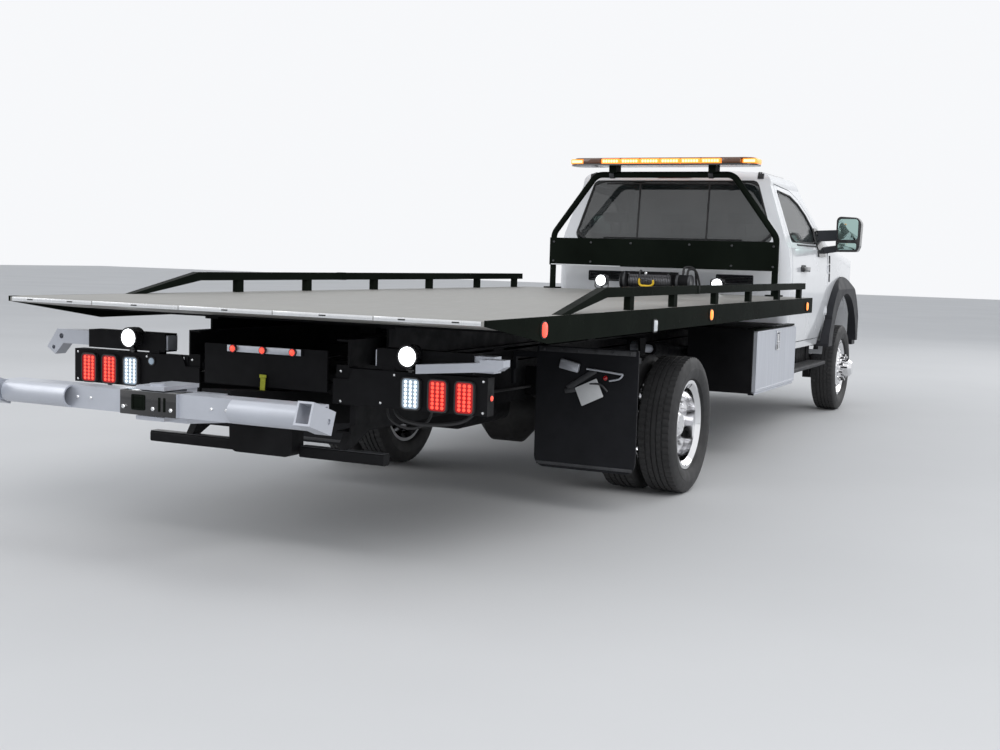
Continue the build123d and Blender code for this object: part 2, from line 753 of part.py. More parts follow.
def nose_form(inset):
    """The body ahead of the cab, or the same form drawn in by a wall."""
    t = inset
    start_y = 900.0
    rise = nose_fall * (start_y - hood_rear_y)
    low = (fender_half - 34 - t, 0, 500 + rise)
    mid = (fender_half - t, 0, 980 + rise)
    high = (fender_half - 8 - t, 0, hood_rear_z - 150 + rise)
    turn = (fender_half - 25 - t, 0, hood_rear_z - 80 + rise - t * 0.6)
    shoulder = (fender_half - 95 - t * 0.6, 0, hood_rear_z - 32 + rise - t)
    crown = (0, 0, hood_rear_z + rise - t)
    flip = [(-x, y, z) for x, y, z in (low, mid, high, turn, shoulder)]
    outline = [
        ThreePointArc(low, mid, high), ThreePointArc(high, turn, shoulder),
        ThreePointArc(shoulder, crown, flip[4]),
        ThreePointArc(flip[4], flip[3], flip[2]), ThreePointArc(flip[2], flip[1], flip[0]),
        Line(flip[0], low),
    ]
    fall = math.hypot(1, nose_fall)
    across = Pos(0, start_y, 0) * extrude(make_face(outline), amount=1900 * fall, dir=(0, -1, -nose_fall))
    front = nose_y + t
    side = side_plate(
        [(900, fender_bottom_z - 10), (front + 20, fender_bottom_z - 10), (front, 900),
         (front, hood_front_z - 170),
         (front + 40, hood_front_z - t), (front + 330, hood_front_z + 66 - t), (900, hood_rear_z + 160)],
        (-1100, 1100), [0, 0, 0, 60, 90, 200, 0],
    )
    wide = fender_half + 40 - t
    corner = fender_half - 60 - t
    plan = floor_plate(
        [(-wide, 950), (-wide, nose_taper_y), (-corner, front + 60), (-700, front), (700, front),
         (corner, front + 60), (wide, nose_taper_y), (wide, 950)],
        (600, 1750), [0, 0, 90, 150, 150, 90, 0, 0],
    )
    return across & side & plan


def wheel_arch(radius, x):
    """The round opening over a front wheel, straight down from its widest points."""
    hole = bar((x[0], 0, arch_centre_z), (x[1], 0, arch_centre_z), radius)
    return hole + block(x, (-radius, radius), (100, arch_centre_z))


def fenders(shell):
    """Side panels with round arches and inner liners."""
    panel = shell & block((hood_half - 120, 1100), (-1000, fender_rear_y), (fender_bottom_z, 1700))
    panel = panel - hood_space() - wheel_arch(arch_radius, (400, 1200))
    panel = panel - block((0, 921), (nose_y - 50, nose_y + 120), (600, hood_low_z))
    panel = panel - (cab_form(-fit_gap) & block((-1100, 1100), (0, cab_front_y - 10), (1300, 1700)))
    liner = wheel_arch(arch_radius + 6, (560, fender_half - 24)) - wheel_arch(arch_radius, (500, 1000))
    liner = liner & block((500, 1100), (-arch_radius - 20, arch_radius + 20),
                          (560, arch_centre_z + arch_radius + 20))
    cab_cut = block((0, 1100), (cab_front_y - 10, 800), (600, 1700)) \
        - block((fender_half - 60, 1100), (0, 800), (600, cab_belt_z + 22))
    side = panel + liner - cab_cut
    return both(side)


def hood_space():
    """The room between the fenders that the hood and the cowl fill."""
    return floor_plate(
        [(-hood_half, 1000), (-hood_half, hood_rear_y), (-hood_half + 70, nose_y - 40),
         (hood_half - 70, nose_y - 40), (hood_half, hood_rear_y), (hood_half, 1000)], (hood_low_z, 1800),
    )


def hood(shell):
    room = floor_plate(
        [(-hood_half + 6, hood_rear_y - 6), (-hood_half + 76, nose_y - 40),
         (hood_half - 76, nose_y - 40), (hood_half - 6, hood_rear_y - 6)], (hood_low_z + 6, 1800),
    )
    skin = shell & room
    for side in (-1, 1):
        x = (side * hood_hinge_x - 25, side * hood_hinge_x + 25)
        arm = block(x, (hood_rear_y - 70, hood_hinge_y), (hood_hinge_z - 20, hood_hinge_z + 5))
        barrel = bar((x[0], hood_hinge_y, hood_hinge_z), (x[1], hood_hinge_y, hood_hinge_z), 12)
        bore = bar((x[0] - 5, hood_hinge_y, hood_hinge_z), (x[1] + 5, hood_hinge_y, hood_hinge_z),
                   hood_pin_radius + fit_gap)
        skin = skin + (arm + barrel) - bore
    return skin


def arch_flares():
    """Wide dark flares round the front arches."""
    inner_x = fender_half - 100
    outer = wheel_arch(arch_radius + flare_width, (inner_x, fender_half + flare_reach))
    band = outer - wheel_arch(arch_radius + 6 + fit_gap, (0, 1300))
    band = band & side_plate(
        [(nose_y + 138, 640), (door_cut_y - 22, 640), (door_cut_y - 22, door_bottom_z - 12),
         (fender_rear_y, door_cut_z - 24),
         (fender_rear_y, 1300), (nose_y + 138, 1300)], (0, 1300))
    lean = front_plate([(inner_x, 500), (fender_half + flare_reach, 500), (fender_half + flare_reach, 1150),
                        (fender_half + 4, 1285), (inner_x, 1285)], (-1200, 1200))
    behind = block((0, fender_half - 56), (cab_front_y - 10, door_cut_y), (500, 1400))
    return both(band & lean - nose_form(-fit_gap) - behind)


def grille():
    """Frame with level bars between the headlamps, and a dark backing."""
    front = nose_y - 16
    frame = front_plate([(-560, 930), (560, 930), (600, 1335), (-600, 1335)], (front, front + 70), 40)
    frame = frame - front_plate([(-515, 972), (515, 972), (552, 1293), (-552, 1293)],
                                (front - 5, front + 52), 30)
    bars = [block((-546, 546), (front + 8, front + 54), (z - 15, z + 15)) for z in (1036.0, 1100.0, 1164.0,
                                                                                    1228.0)]
    carrier = block((-914, 914), (nose_y + 90, nose_y + 110), (1090, 1150))
    pieces = [frame, carrier] + bars
    for side in (-1, 1):
        pieces.append(block(sorted((side * 480, side * 540)), (nose_y + 50, nose_y + 95), (1090, 1150)))
        pieces.append(block(sorted((side * 356, side * 428)), (nose_y + 20, nose_y + 50),
                            (rail_top + fit_gap, 960)))
    return join(pieces)


def headlamps():
    lamp = front_plate([(612, 980), (905, 985), (915, 1318), (622, 1328)], (nose_y - 12, nose_y + 90), 26)
    return both(lamp)


def bumper():
    """Front bumper with a lower valance and its brackets."""
    reach = 1010.0
    outline = floor_plate(
        [(-reach, nose_y + 130), (-reach, nose_y - 60), (-620, bumper_front_y), (620, bumper_front_y),
         (reach, nose_y - 60), (reach, nose_y + 130), (reach - 30, nose_y + 130), (reach - 30, nose_y - 40),
         (610, bumper_front_y + 30), (-610, bumper_front_y + 30), (-reach + 30, nose_y - 40),
         (-reach + 30, nose_y + 130)],
        (590, 850), [0, 60, 200, 200, 60, 0, 0, 40, 190, 190, 40, 0],
    )
    inner, outer = rail_half - rail_width + 6, rail_half - rail_wall - fit_gap
    arms = [block(sorted((s * inner, s * outer)), (bumper_front_y + 20, rail_front_y + 30),
                  (640, 770)) for s in (-1, 1)]
    return join([outline] + arms)


# Inside the cab

def seat():
    """Three cushions on one base, and three backs with headrests."""
    pieces = [block((-800, 800), (1330, 1880), (floor_top_z, 1010))]
    backs = []
    for low, high in ((-800, -290), (-280, 280), (290, 800)):
        cushion = side_plate([(1270, 1000), (1860, 1000), (1860, 1115), (1290, 1150)], (low, high), 30)
        back = side_plate([(1802, 1116), (1932, 1116), (2030, 1630), (1945, 1640)], (low, high), 30)
        rest = side_plate([(1950, 1655), (2020, 1655), (2040, 1790), (1965, 1800)], (low + 130, high - 130),
                          22)
        middle = (low + high) / 2
        post = side_plate([(1972, 1620), (2002, 1620), (2010, 1670), (1982, 1670)],
                          (middle - 60, middle + 60))
        pieces.append(cushion)
        backs.append(join([back, rest, post]))
    return [join(pieces)] + backs


def dashboard():
    """Dashboard with the steering wheel and its column."""
    dash = side_plate([(615, 1180), (880, 1130), (930, 1240), (890, 1400), (820, 1470), (690, 1505),
                       (615, 1440)],
                      (-812, 812), [0, 40, 40, 30, 30, 0, 0])
    centre = (430, 1080, 1390)
    tilt = Plane(origin=centre, z_dir=(0, 0.86, 0.5))
    rim = ring([(-12, 178), (12, 178), (15, 190), (12, 202), (-12, 202), (-15, 190)], (0, 0, 0))
    wheel = tilt * (Rot(0, 90, 0) * rim)
    spokes = [tilt * Rot(0, 0, turn) * Pos(94, 0, 0) * Box(180, 34, 14) for turn in (0, 180, 270)]
    column = bar((430, 850, 1255), centre, 34)
    legs = [block((x - 60, x + 60), (cab_front_y + cab_wall, 640), (1200, 1280)) for x in (-500, 500)]
    return join([dash, wheel, column] + spokes + legs)


# Side steps, toolboxes and flaps

def running_boards():
    step = block((860, 1020), (640, 2150), (470, 505))
    step = fillet(step.edges().filter_by(Axis.Y), 12)
    arms = [block((rail_half, 880), (y - 25, y + 25), (478, 500)) + block((rail_half, rail_half + 12),
                                                                          (y - 25, y + 25), (478, 640))
            for y in (900, 1900)]
    return both(join([step] + arms))


def toolbox():
    """Left toolbox, open at its outer side, with a hinge rod and frame brackets."""
    outer = block((box_inner_x, box_outer_x), (box_front_y, box_rear_y), (box_bottom_z, box_top_z))
    inner = block((box_inner_x + box_wall, box_outer_x + 1), (box_front_y + box_wall, box_rear_y - box_wall),
                  (box_bottom_z + box_wall, box_top_z - box_wall))
    body = outer - inner
    x, z = box_outer_x + 14, box_bottom_z - 2
    for y in (box_front_y, box_rear_y - 10):
        body = body + block((box_outer_x - 20, x + 5), (y, y + 10), (z - 7, z + 5))
    body = body + bar((x, box_front_y, z), (x, box_rear_y, z), box_hinge_radius)
    for y in (box_front_y + 300, box_rear_y - 300):
        hang = block((rail_half, box_inner_x + 4), (y - 25, y + 25), (rail_bottom + 1, rail_bottom + 19))
        body = body + hang + block((rail_half, rail_half + 10), (y - 25, y + 25),
                                   (rail_bottom + 1, rail_bottom + 130))
    return body


def toolbox_door():
    """Left toolbox door: a flat pan that drops down about its lower edge."""
    gap = 5.0
    x, z = box_outer_x + 14, box_bottom_z - 2
    inner_x = box_door_x - box_door_thick
    pan = block((inner_x, box_door_x), (box_front_y, box_rear_y), (box_bottom_z + 10, box_top_z - 12))
    pan = fillet(pan.edges().filter_by(Axis.X), 12)
    sleeve_y = (box_front_y + 12, box_rear_y - 12)
    sleeve = bar((x, sleeve_y[0], z), (x, sleeve_y[1], z), 9)
    skirt = block((inner_x, inner_x + 10), sleeve_y, (z, box_bottom_z + 20))
    bore = bar((x, box_front_y - 5, z), (x, box_rear_y + 5, z), box_hinge_radius + fit_gap)
    middle = (box_front_y + box_rear_y) / 2
    latch = block((box_door_x - 12, box_door_x + 5), (middle - 45, middle + 45),
                  (box_top_z - 125, box_top_z - 35))
    recess = block((box_door_x - 7, box_door_x + 20), (middle - 38, middle + 38),
                   (box_top_z - 118, box_top_z - 42))
    grip = block((box_door_x - 12, box_door_x + 3), (middle - 10, middle + 10),
                 (box_top_z - 105, box_top_z - 55))
    return join([pan, sleeve, skirt, latch]) - recess - bore + grip


def mud_flaps():
    flap = front_plate([(flap_inner, flap_bottom), (flap_outer, flap_bottom), (flap_outer, flap_top),
                        (flap_inner, flap_top)],
                       (flap_y, flap_y + flap_thick), [60, 60, 10, 10])
    y = (flap_y - 30, flap_y)
    arm = block((rail_half + swing_gap, flap_outer), y, (flap_top - 70, flap_top - 40))
    post = block((rail_half + swing_gap, rail_half + 24), y, (rail_top - 40, flap_top - 40))
    foot = block((rail_half, rail_half + 14), y, (rail_top - 120, rail_top))
    return both(join([flap, arm, post, foot]))


# Lamps and guards at the tail

def light_panels():
    """Panels for the tail lamps, the arm sleeves above them and their brackets."""
    y = panel_y
    step_z = panel_top - 48
    panel = front_plate(
        [(panel_low_inner, panel_bottom), (panel_half, panel_bottom), (panel_half, panel_top),
         (panel_inner, panel_top),
         (panel_inner - 20, step_z), (panel_low_inner, step_z)], (y - panel_thick, y))
    lip = block((panel_inner, panel_half), (y - 60, y), (panel_top - 6, panel_top))
    end = block((panel_half - 6, panel_half), (y - 60, y), (panel_bottom, panel_top))
    arm = block((rail_half + pivot_plate_thick + 2 * fit_gap, panel_inner + 240), (y - 60, y - panel_thick),
                (730, 800))
    half = arm_size / 2 + fit_gap
    hole = block((560, 1040), (arm_y - half, arm_y + half), (arm_z - half, arm_z + half))
    half = half + 8
    sleeve = block((570, 1030), (arm_y - half, arm_y + half), (arm_z - half, arm_z + half)) - hole
    foot = block((600, 660), (y - 60, y - 10), (panel_top + fit_gap, 876))
    stalk = block((work_lamp_x - 9, work_lamp_x + 9), (y - 16, y - 4),
                  (panel_top + fit_gap, work_lamp_z - 20))
    return both(join([panel, lip, end, arm])) + both(sleeve + foot) + both(stalk)


def lamps_red():
    """Red tail lamps and the three lamps on the middle strip."""
    wide, tall = lamp_size
    z = panel_bottom + 8 + tall / 2
    found = []
    for x in lamp_columns:
        lamp = front_plate([(x - wide / 2, z - tall / 2), (x + wide / 2, z - tall / 2),
                            (x + wide / 2, z + tall / 2), (x - wide / 2, z + tall / 2)],
                           (panel_y, panel_y + lamp_proud), 10)
        found += both(lamp)
    strip_z = 912.0
    for x in (-160.0, 0.0, 160.0):
        found += bar((x, panel_y + 8, strip_z), (x, panel_y + 22, strip_z), 17).solids()
    return found


def lamps_white():
    """Reversing lamps and round work lamps."""
    wide, tall = lamp_size
    z = panel_bottom + 8 + tall / 2
    x = white_column
    lamp = front_plate([(x - wide / 2, z - tall / 2), (x + wide / 2, z - tall / 2),
                        (x + wide / 2, z + tall / 2), (x - wide / 2, z + tall / 2)],
                       (panel_y, panel_y + lamp_proud), 20)
    work = bar((work_lamp_x, panel_y - 4, work_lamp_z), (work_lamp_x, panel_y + 34, work_lamp_z),
               work_lamp_radius)
    return both(lamp) + both(work)


def tail_strip():
    """Plate behind the three middle lamps, carried by the last cross member."""
    strip = block((-205, 205), (panel_y, panel_y + 8), (896, 928))
    back = block((-330, 330), (panel_y - 10, panel_y), (748, 928))
    tie = block((-300, 300), (rail_rear_y - 30 + fit_gap, panel_y), (rail_top - 40, rail_top - 10))
    return strip + back + tie


def underride_bar():
    """Low bar in two halves, each on its hanger, with room for the lift's saddle between them."""
    half = underride_size / 2
    y = (underride_y - half, underride_y + half)
    z = (underride_z - half, underride_z + half)
    found = []
    for side, start in ((-1, -saddle_x[0] + swing_gap), (1, saddle_x[1] + swing_gap)):
        tube = block(sorted((side * start, side * underride_half)), y, z)
        tube = fillet(tube.edges().filter_by(Axis.X), 12)
        hanger = side_plate(
            [(underride_y - 34, underride_z + 20), (underride_y + 20, underride_z + 20),
             (rail_rear_y, rail_bottom - fit_gap), (rail_rear_y - 160, rail_bottom - fit_gap)],
            sorted((side * (rail_half - 40), side * (rail_half - 4))))
        found.append(tube + hanger)
    return found


def wheel_arms():
    """Stowed tow arms: the left one bent at its end, the right one with a bar along its sleeve."""
    y = (arm_y - arm_size / 2, arm_y + arm_size / 2)
    low, high = arm_z - arm_size / 2, arm_z + arm_size / 2
    straight = block((560, 1185), y, (low, high))
    tip = front_plate([(1170, low), (1200, low), (1252, 822), (1304, 856), (1238, high), (1170, high)], y)
    for x, z, radius in ((1262, 856, 10), (1212, arm_z, 13)):
        tip = tip - bar((x, y[0] - 5, z), (x, y[1] + 5, z), radius)
    short = block((-1120, -560), y, (low, high))
    bar_y = (y[1] + 8 + 2 * fit_gap, panel_y + 50)
    flat = front_plate([(-795, 862), (-1172, 894), (-1196, 912), (-1196, high - 6), (-1120, high - 6),
                        (-1120, 928), (-795, 900)], bar_y)
    end = block((-1120, -1090), (y[0], bar_y[1]), (904, high - 8))
    return (straight + tip).solids() + (short + flat + end).solids()


# Bed

def bed_deck():
    """Deck plate with its thick tapered tail."""
    half = bed_half - side_thick
    plate = block((-half, half), (bed_front_y, bed_tail_y - 60), (deck_z - deck_thick, deck_z))
    tail = side_plate([(bed_kink_y + 200, deck_z - deck_thick), (bed_tail_y - 62, deck_z - deck_thick),
                       (bed_tail_y - 60, deck_z),
                       (bed_tail_y, deck_z - 4), (bed_tail_y, deck_z - tail_thick),
                       (bed_kink_y + 200, deck_z - 60)],
                      (-half, half))
    return plate + tail


def bed_sides():
    """Deep side boards with the guide rails above them."""
    board = side_plate(
        [(bed_front_y, deck_z - side_depth), (bed_kink_y, deck_z - side_depth),
         (bed_tail_y, deck_z - tail_thick),
         (bed_tail_y, deck_z), (bed_front_y, deck_z)], (bed_half - side_thick, bed_half))
    x = (rail_line - rail_tube / 2, rail_line + rail_tube / 2)
    low = rail_top_z - rail_tube
    tube = side_plate(
        [(rail_foot_y, deck_z), (rail_bend_y + 8, rail_top_z), (rail_end_y, rail_top_z), (rail_end_y, low),
         (rail_bend_y - 8, low), (rail_foot_y - 110, deck_z)], x)
    posts = [block((rail_line - 17, rail_line + 17), (y - rail_post_width / 2, y + rail_post_width / 2),
                   (deck_z, low + 5))
             for y in rail_posts_y]
    front = block((bed_half - side_thick - 60, bed_half - side_thick), (bed_front_y, bed_front_y + 10),
                  (deck_z - side_depth, deck_z - deck_thick))
    return both(join([board, tube, front] + posts))


def bed_beams():
    """Cross members and the two long beams that slide on the subframe."""
    top = deck_z - deck_thick
    low = top - cross_depth
    pieces = []
    y = bed_front_y + 12 + cross_width / 2
    count = int((bed_kink_y + 180 - y) // cross_pitch) + 1
    half = bed_half - side_thick
    for number in range(count):
        at = y + number * cross_pitch
        pieces.append(block((-half, half), (at - cross_width / 2, at + cross_width / 2), (low, top)))
    for side in (-1, 1):
        x = side * beam_half
        run = (bed_front_y + 12, bed_kink_y + 60)
        wide = (x - beam_width / 2, x + beam_width / 2)
        web = block((x - beam_web / 2, x + beam_web / 2), run, (beam_bottom, low - fit_gap))
        foot = block(wide, run, (beam_bottom, beam_bottom + beam_web))
        head = block(wide, run, (low - beam_web, low - fit_gap))
        pieces.append(web + foot + head)
    end = slide_rod_end_y
    rod = bar((0, slide_barrel_front_y + 60, slide_axis_z), (0, end, slide_axis_z), slide_rod_radius)
    reach = beam_half - beam_web / 2 - fit_gap
    yoke = block((-reach, reach), (end - 30, end + 30), (low - 50, low - fit_gap))
    plate = block((-45, 45), (end - 30, end + 30), (slide_axis_z - slide_rod_radius, low - fit_gap))
    return pieces + [rod + yoke + plate]


def cab_guard():
    """Bent tube frame behind the cab, with a wide plate and braces."""
    half, top = guard_half - guard_tube, guard_top_z - guard_tube
    points = [(half, guard_y, deck_z), (half, guard_y, guard_shoulder_z), (guard_top_half, guard_y, top),
              (-guard_top_half, guard_y, top), (-half, guard_y, guard_shoulder_z), (-half, guard_y, deck_z)]
    frame = pipe(points, guard_tube, [guard_bend, guard_bend, guard_bend, guard_bend])
    plate = block((-guard_half, guard_half), (guard_y + guard_tube - 8, guard_y + guard_tube + 2),
                  (plate_bottom_z, plate_top_z))
    feet = [block((s * half - 60, s * half + 60), (guard_y - 50, guard_y + 50),
                  (deck_z, deck_z + 12)) for s in (-1, 1)]
    seats = [block((s * 420 - 30, s * 420 + 30), (guard_y - 60, guard_y + 60),
                   (guard_top_z - 12, bar_bottom_z)) for s in (-1, 1)]
    return join([frame, plate] + feet + seats)


def light_bar():
    """Low amber lamp bar along the top of the guard."""
    half_depth = bar_depth / 2
    body = side_plate([(guard_y - half_depth, bar_bottom_z), (guard_y + half_depth, bar_bottom_z),
                       (guard_y + half_depth, bar_top_z - 14), (guard_y + half_depth - 30, bar_top_z),
                       (guard_y - half_depth + 30, bar_top_z), (guard_y - half_depth, bar_top_z - 14)],
                      (-bar_half, bar_half))
    keep = floor_plate([(-bar_half, guard_y - half_depth), (bar_half, guard_y - half_depth),
                        (bar_half, guard_y + half_depth), (-bar_half, guard_y + half_depth)],
                       (bar_bottom_z, bar_top_z), 100)
    return body & keep


def winch():
    """Winch at the front of the bed: frame, drum, motor, cable and hook."""
    y, z = 2590.0, 1200.0
    plates = [block((x - 6, x + 6), (y - 85, y + 85), (deck_z, z + 75)) for x in (-190.0, 190.0)]
    base = block((-300, 300), (y - 100, y + 100), (deck_z, deck_z + 12))
    drum = bar((-190, y, z), (190, y, z), 52)
    motor = bar((-330, y, z), (-190, y, z), 58)
    gear = bar((190, y, z), (250, y, z), 72)
    cover = block((-196, 196), (y - 85, y - 73), (deck_z, z + 75))
    tie = block((-196, 196), (y + 70, y + 82), (z + 52, z + 68))
    return join(plates + [base, drum, motor, gear, cover, tie])


def tow_hook():
    """Flat yellow hook, hung by its shank on the winch's bar."""
    y = (2686.0, 2704.0)
    curve = front_plate([(78, 1290), (78, 1172), (56, 1152), (-38, 1152), (-58, 1172), (-58, 1204),
                         (-34, 1204), (-30, 1180),
                         (40, 1178), (52, 1190), (52, 1290)], y)
    over = block((52, 78), (2646, y[1]), (1268.3, 1290)) + block((52, 78), (2646, 2659.7), (1244, 1290))
    return curve + over


def marker_lamps():
    """Small side lamps on the side boards and two round lamps behind the cab."""
    found = []
    for y, z, wide, tall in ((7550, 1055, 46, 28), (6115, 1022, 44, 56), (5100, 1052, 46, 28),
                             (2520, 1047, 46, 28)):
        lamp = side_plate([(y - wide / 2, z - tall / 2), (y + wide / 2, z - tall / 2),
                           (y + wide / 2, z + tall / 2), (y - wide / 2, z + tall / 2)],
                          (bed_half, bed_half + 9), 8)
        found += both(lamp)
    spot = bar((495, guard_y - 4, 1190), (495, guard_y + 42, 1190), 46)
    stalk = block((487, 503), (guard_y + 4, guard_y + 20), (deck_z, 1150))
    return found + both(spot + stalk)


# Subframe and cylinders

def subframe():
    """Two long rails that carry the bed, their wear pads and the slide cylinder's barrel."""
    wall = 8.0
    inner = sub_half - sub_width
    rail = block((inner, sub_half - fit_gap), (sub_front_y, sub_rear_y), (sub_bottom, sub_top))
    core = block((inner - 1, sub_half - wall), (sub_front_y - 1, sub_rear_y + 1),
                 (sub_bottom + wall, sub_top - wall))
    rail = rail - core
    shelf = block((sub_half, shelf_reach), (sub_front_y, tilt_pivot_y - 140),
                  (shelf_z - shelf_thick, shelf_z))
    pads = [block((beam_half - beam_width / 2 - 4, beam_half + beam_width / 2 + 4), (y - 60, y + 60),
                  (shelf_z, shelf_z + pad_thick))
            for y in (2600, 3900, 5200, 6500, 7400)]
    boss = block((inner, sub_half - fit_gap), (tilt_pivot_y - 42, sub_rear_y),
                 (sub_bottom, tilt_pivot_z + 50))
    bore = bar((inner - 30, tilt_pivot_y, tilt_pivot_z), (sub_half + 30, tilt_pivot_y, tilt_pivot_z),
               tilt_pin_radius + fit_gap)
    lug_y, lug_z = tilt_eye
    outer_x = tilt_line + rod_eye_width / 2 + fit_gap
    plate_z = (shelf_z - shelf_thick - fit_gap - lug_thick, shelf_z - shelf_thick - fit_gap)
    side = [(rail + boss) - bore, join([shelf] + pads)]
    side.append(block((sub_half, outer_x + lug_thick), (lug_y - 60, lug_y + 60), plate_z))
    for start in (2 * tilt_line - outer_x - lug_thick, outer_x):
        top = plate_z[0] - fit_gap
        side.append(side_plate([(lug_y - 45, lug_z - 42), (lug_y + 45, lug_z - 42), (lug_y + 60, top),
                                (lug_y - 60, top)],
                               (start, start + lug_thick)))
    pieces = side + [other_side(piece) for piece in side]
    reach = sub_half - wall - fit_gap
    for y in (sub_front_y + 30, 3700, 4500, 5500, 6700, 7600):
        pieces.append(block((-reach, reach), (y - 25, y + 25), (sub_bottom + 12, sub_bottom + 72)))
    end = slide_barrel_front_y + slide_travel + 120
    barrel = bar((0, slide_barrel_front_y, slide_axis_z), (0, end, slide_axis_z), slide_barrel_radius)
    room = bar((0, slide_barrel_front_y + 40, slide_axis_z), (0, end + 1, slide_axis_z), slide_rod_radius + 6)
    saddles = [block((-40, 40), (y - 20, y + 20),
                     (sub_bottom + 72 + fit_gap, slide_axis_z - slide_barrel_radius + 10))
               for y in (3700, 5500)]
    return pieces + [join([barrel - room] + saddles)]


def along_cylinder(fraction):
    """A point on the line from the tilt cylinder's base to its rod's eye."""
    return tuple(a + (b - a) * fraction for a, b in zip(tilt_base, tilt_eye))


def tilt_barrels():
    base, head = tilt_base, along_cylinder(0.86)
    eye = bar((tilt_line - eye_width / 2, *base), (tilt_line + eye_width / 2, *base), eye_radius)
    tube = bar((tilt_line, *base), (tilt_line, *head), tilt_barrel_radius)
    room = bar((tilt_line, *along_cylinder(0.08)), (tilt_line, *along_cylinder(0.9)), tilt_rod_radius + 3)
    tube = tube - block((0, tilt_line - eye_width / 2), (base[0] - 100, base[0] + 75), (300, 900)) \
        - block((tilt_line + eye_width / 2, 900), (base[0] - 100, base[0] + 75), (300, 900))
    hole = bar((tilt_line - 60, *base), (tilt_line + 60, *base), eye_pin_radius + fit_gap)
    return both((eye + tube) - room - hole)


def tilt_rods():
    head = tilt_eye
    eye = bar((tilt_line - rod_eye_width / 2, *head), (tilt_line + rod_eye_width / 2, *head), eye_radius - 4)
    rod = bar((tilt_line, *along_cylinder(0.12)), (tilt_line, *head), tilt_rod_radius)
    return both(eye + rod)


# Wheel lift

def boom_axis(distance, lift=0.0):
    """A point at a distance along the boom from its pivot, and at a height above its axis."""
    run, rise = boom_tip[0] - boom_pivot[0], boom_tip[1] - boom_pivot[1]
    length = math.hypot(run, rise)
    cy, sz = run / length, rise / length
    return (boom_pivot[0] + distance * cy - lift * sz, boom_pivot[1] + distance * sz + lift * cy)


def beam(start, end, size):
    """A square bar along the boom between two distances from its pivot."""
    half = size / 2
    corners = [boom_axis(start, -half), boom_axis(end, -half), boom_axis(end, half), boom_axis(start, half)]
    return side_plate(corners, (-half, half))


def lift_boom():
    """Outer boom with the saddle under it that fills the gap in the low bar."""
    outer = beam(-70, boom_outer_length, boom_size)
    low = underride_z - underride_size / 2 + 3
    reach = math.hypot(boom_tip[0] - boom_pivot[0],
                       boom_tip[1] - boom_pivot[1]) / (boom_tip[0] - boom_pivot[0])
    ends = [boom_axis((y - boom_pivot[0]) * reach, boom_wall / 2 - boom_size / 2) for y in saddle_y]
    saddle = side_plate([(saddle_y[0], low), (saddle_y[1], low), ends[1], ends[0]], saddle_x)
    saddle = fillet(saddle.edges().filter_by(Axis.Y).group_by(Axis.Z)[0], 40)
    room = beam(60, boom_outer_length + 5, slider_size + 2 * fit_gap)
    pin = bar((-200, *boom_pivot), (200, *boom_pivot), swivel_pin_radius + fit_gap)
    return outer + saddle - room - pin


def lift_slider():
    length = math.hypot(boom_tip[0] - boom_pivot[0], boom_tip[1] - boom_pivot[1])
    bar_in = beam(120, length, slider_size)
    half = cross_tube / 2
    low, high = cross_z - half - 22, cross_z + half + 22
    tip_y = boom_tip[0]
    jaws = [block((-70, 70), (tip_y - 60, cross_y + half), z) for z in ((low, low + 16), (high - 16, high))]
    web = block((-60, 60), (tip_y - 60, tip_y + 4), (low, high))
    pin = bar((0, cross_y, low + 5), (0, cross_y, high + 8), swivel_pin_radius)
    return join([bar_in, web, pin] + jaws)


def crossbar():
    """Square cross tube with half-round pipes behind it and pitched receivers at the ends."""
    half = cross_tube / 2
    y = (cross_y - half, cross_y + half)
    z = (cross_z - half, cross_z + half)
    tube = block((-cross_half, cross_half), y, z)
    tube = tube - block((-cross_half - 1, cross_half + 1), (y[0] + cross_tube_wall, y[1] - cross_tube_wall),
                        (z[0] + cross_tube_wall, z[1] - cross_tube_wall))
    tube = tube + block((-140, 140), (y[0] + 2, y[1] + 12), z)
    found = []
    pins = []
    for side in (-1, 1):
        start, end = (side * pipe_start, y[1], cross_z), (side * pipe_end, y[1], cross_z)
        shell = bar(start, end, pipe_radius) - bar(start, end, pipe_radius - pipe_wall)
        shell = shell - block((-900, 900), (y[0] - 100, y[1] + fit_gap), (600, 900))
        found.append(shell)
        x = side * receiver_x
        outer = Box(receiver_width, receiver_length, receiver_height)
        inner = Box(receiver_width - 2 * receiver_wall, receiver_length + 2,
                    receiver_height - 2 * receiver_wall)
        place = Pos(x, receiver_y, cross_z + 8) * Rot(receiver_pitch, 0, 0)
        pin = Rot(0, 90, 0) * Cylinder(11, receiver_width + 70)
        pins.append(place * Pos(0, -receiver_length / 2 + 34, 0) * pin)
        found.append(place * (outer - inner))
        stub_x = (receiver_x - receiver_width / 2 - 30, receiver_x - receiver_width / 2 - fit_gap)
        tube = tube + block(sorted((side * stub_x[0], side * stub_x[1])), (cross_y, y[1] + 30),
                            (cross_z - 36, cross_z + 36))
    pin = bar((0, cross_y, cross_z - 90), (0, cross_y, cross_z + 90), swivel_pin_radius + fit_gap)
    found.append(tube - pin)
    return [piece - join(pins) for piece in found]


# Writing the pieces

def save(name, found):
    """Moves a piece to the truck's own origin and writes it to its own file."""
    solids = found if isinstance(found, list) else found.solids()
    placed = [Pos(0, -middle_y, 0) * solid for solid in solids]
    shape = placed[0] if len(placed) == 1 else Compound(children=placed)
    export_step(shape, os.path.join("parts", name + ".step"))


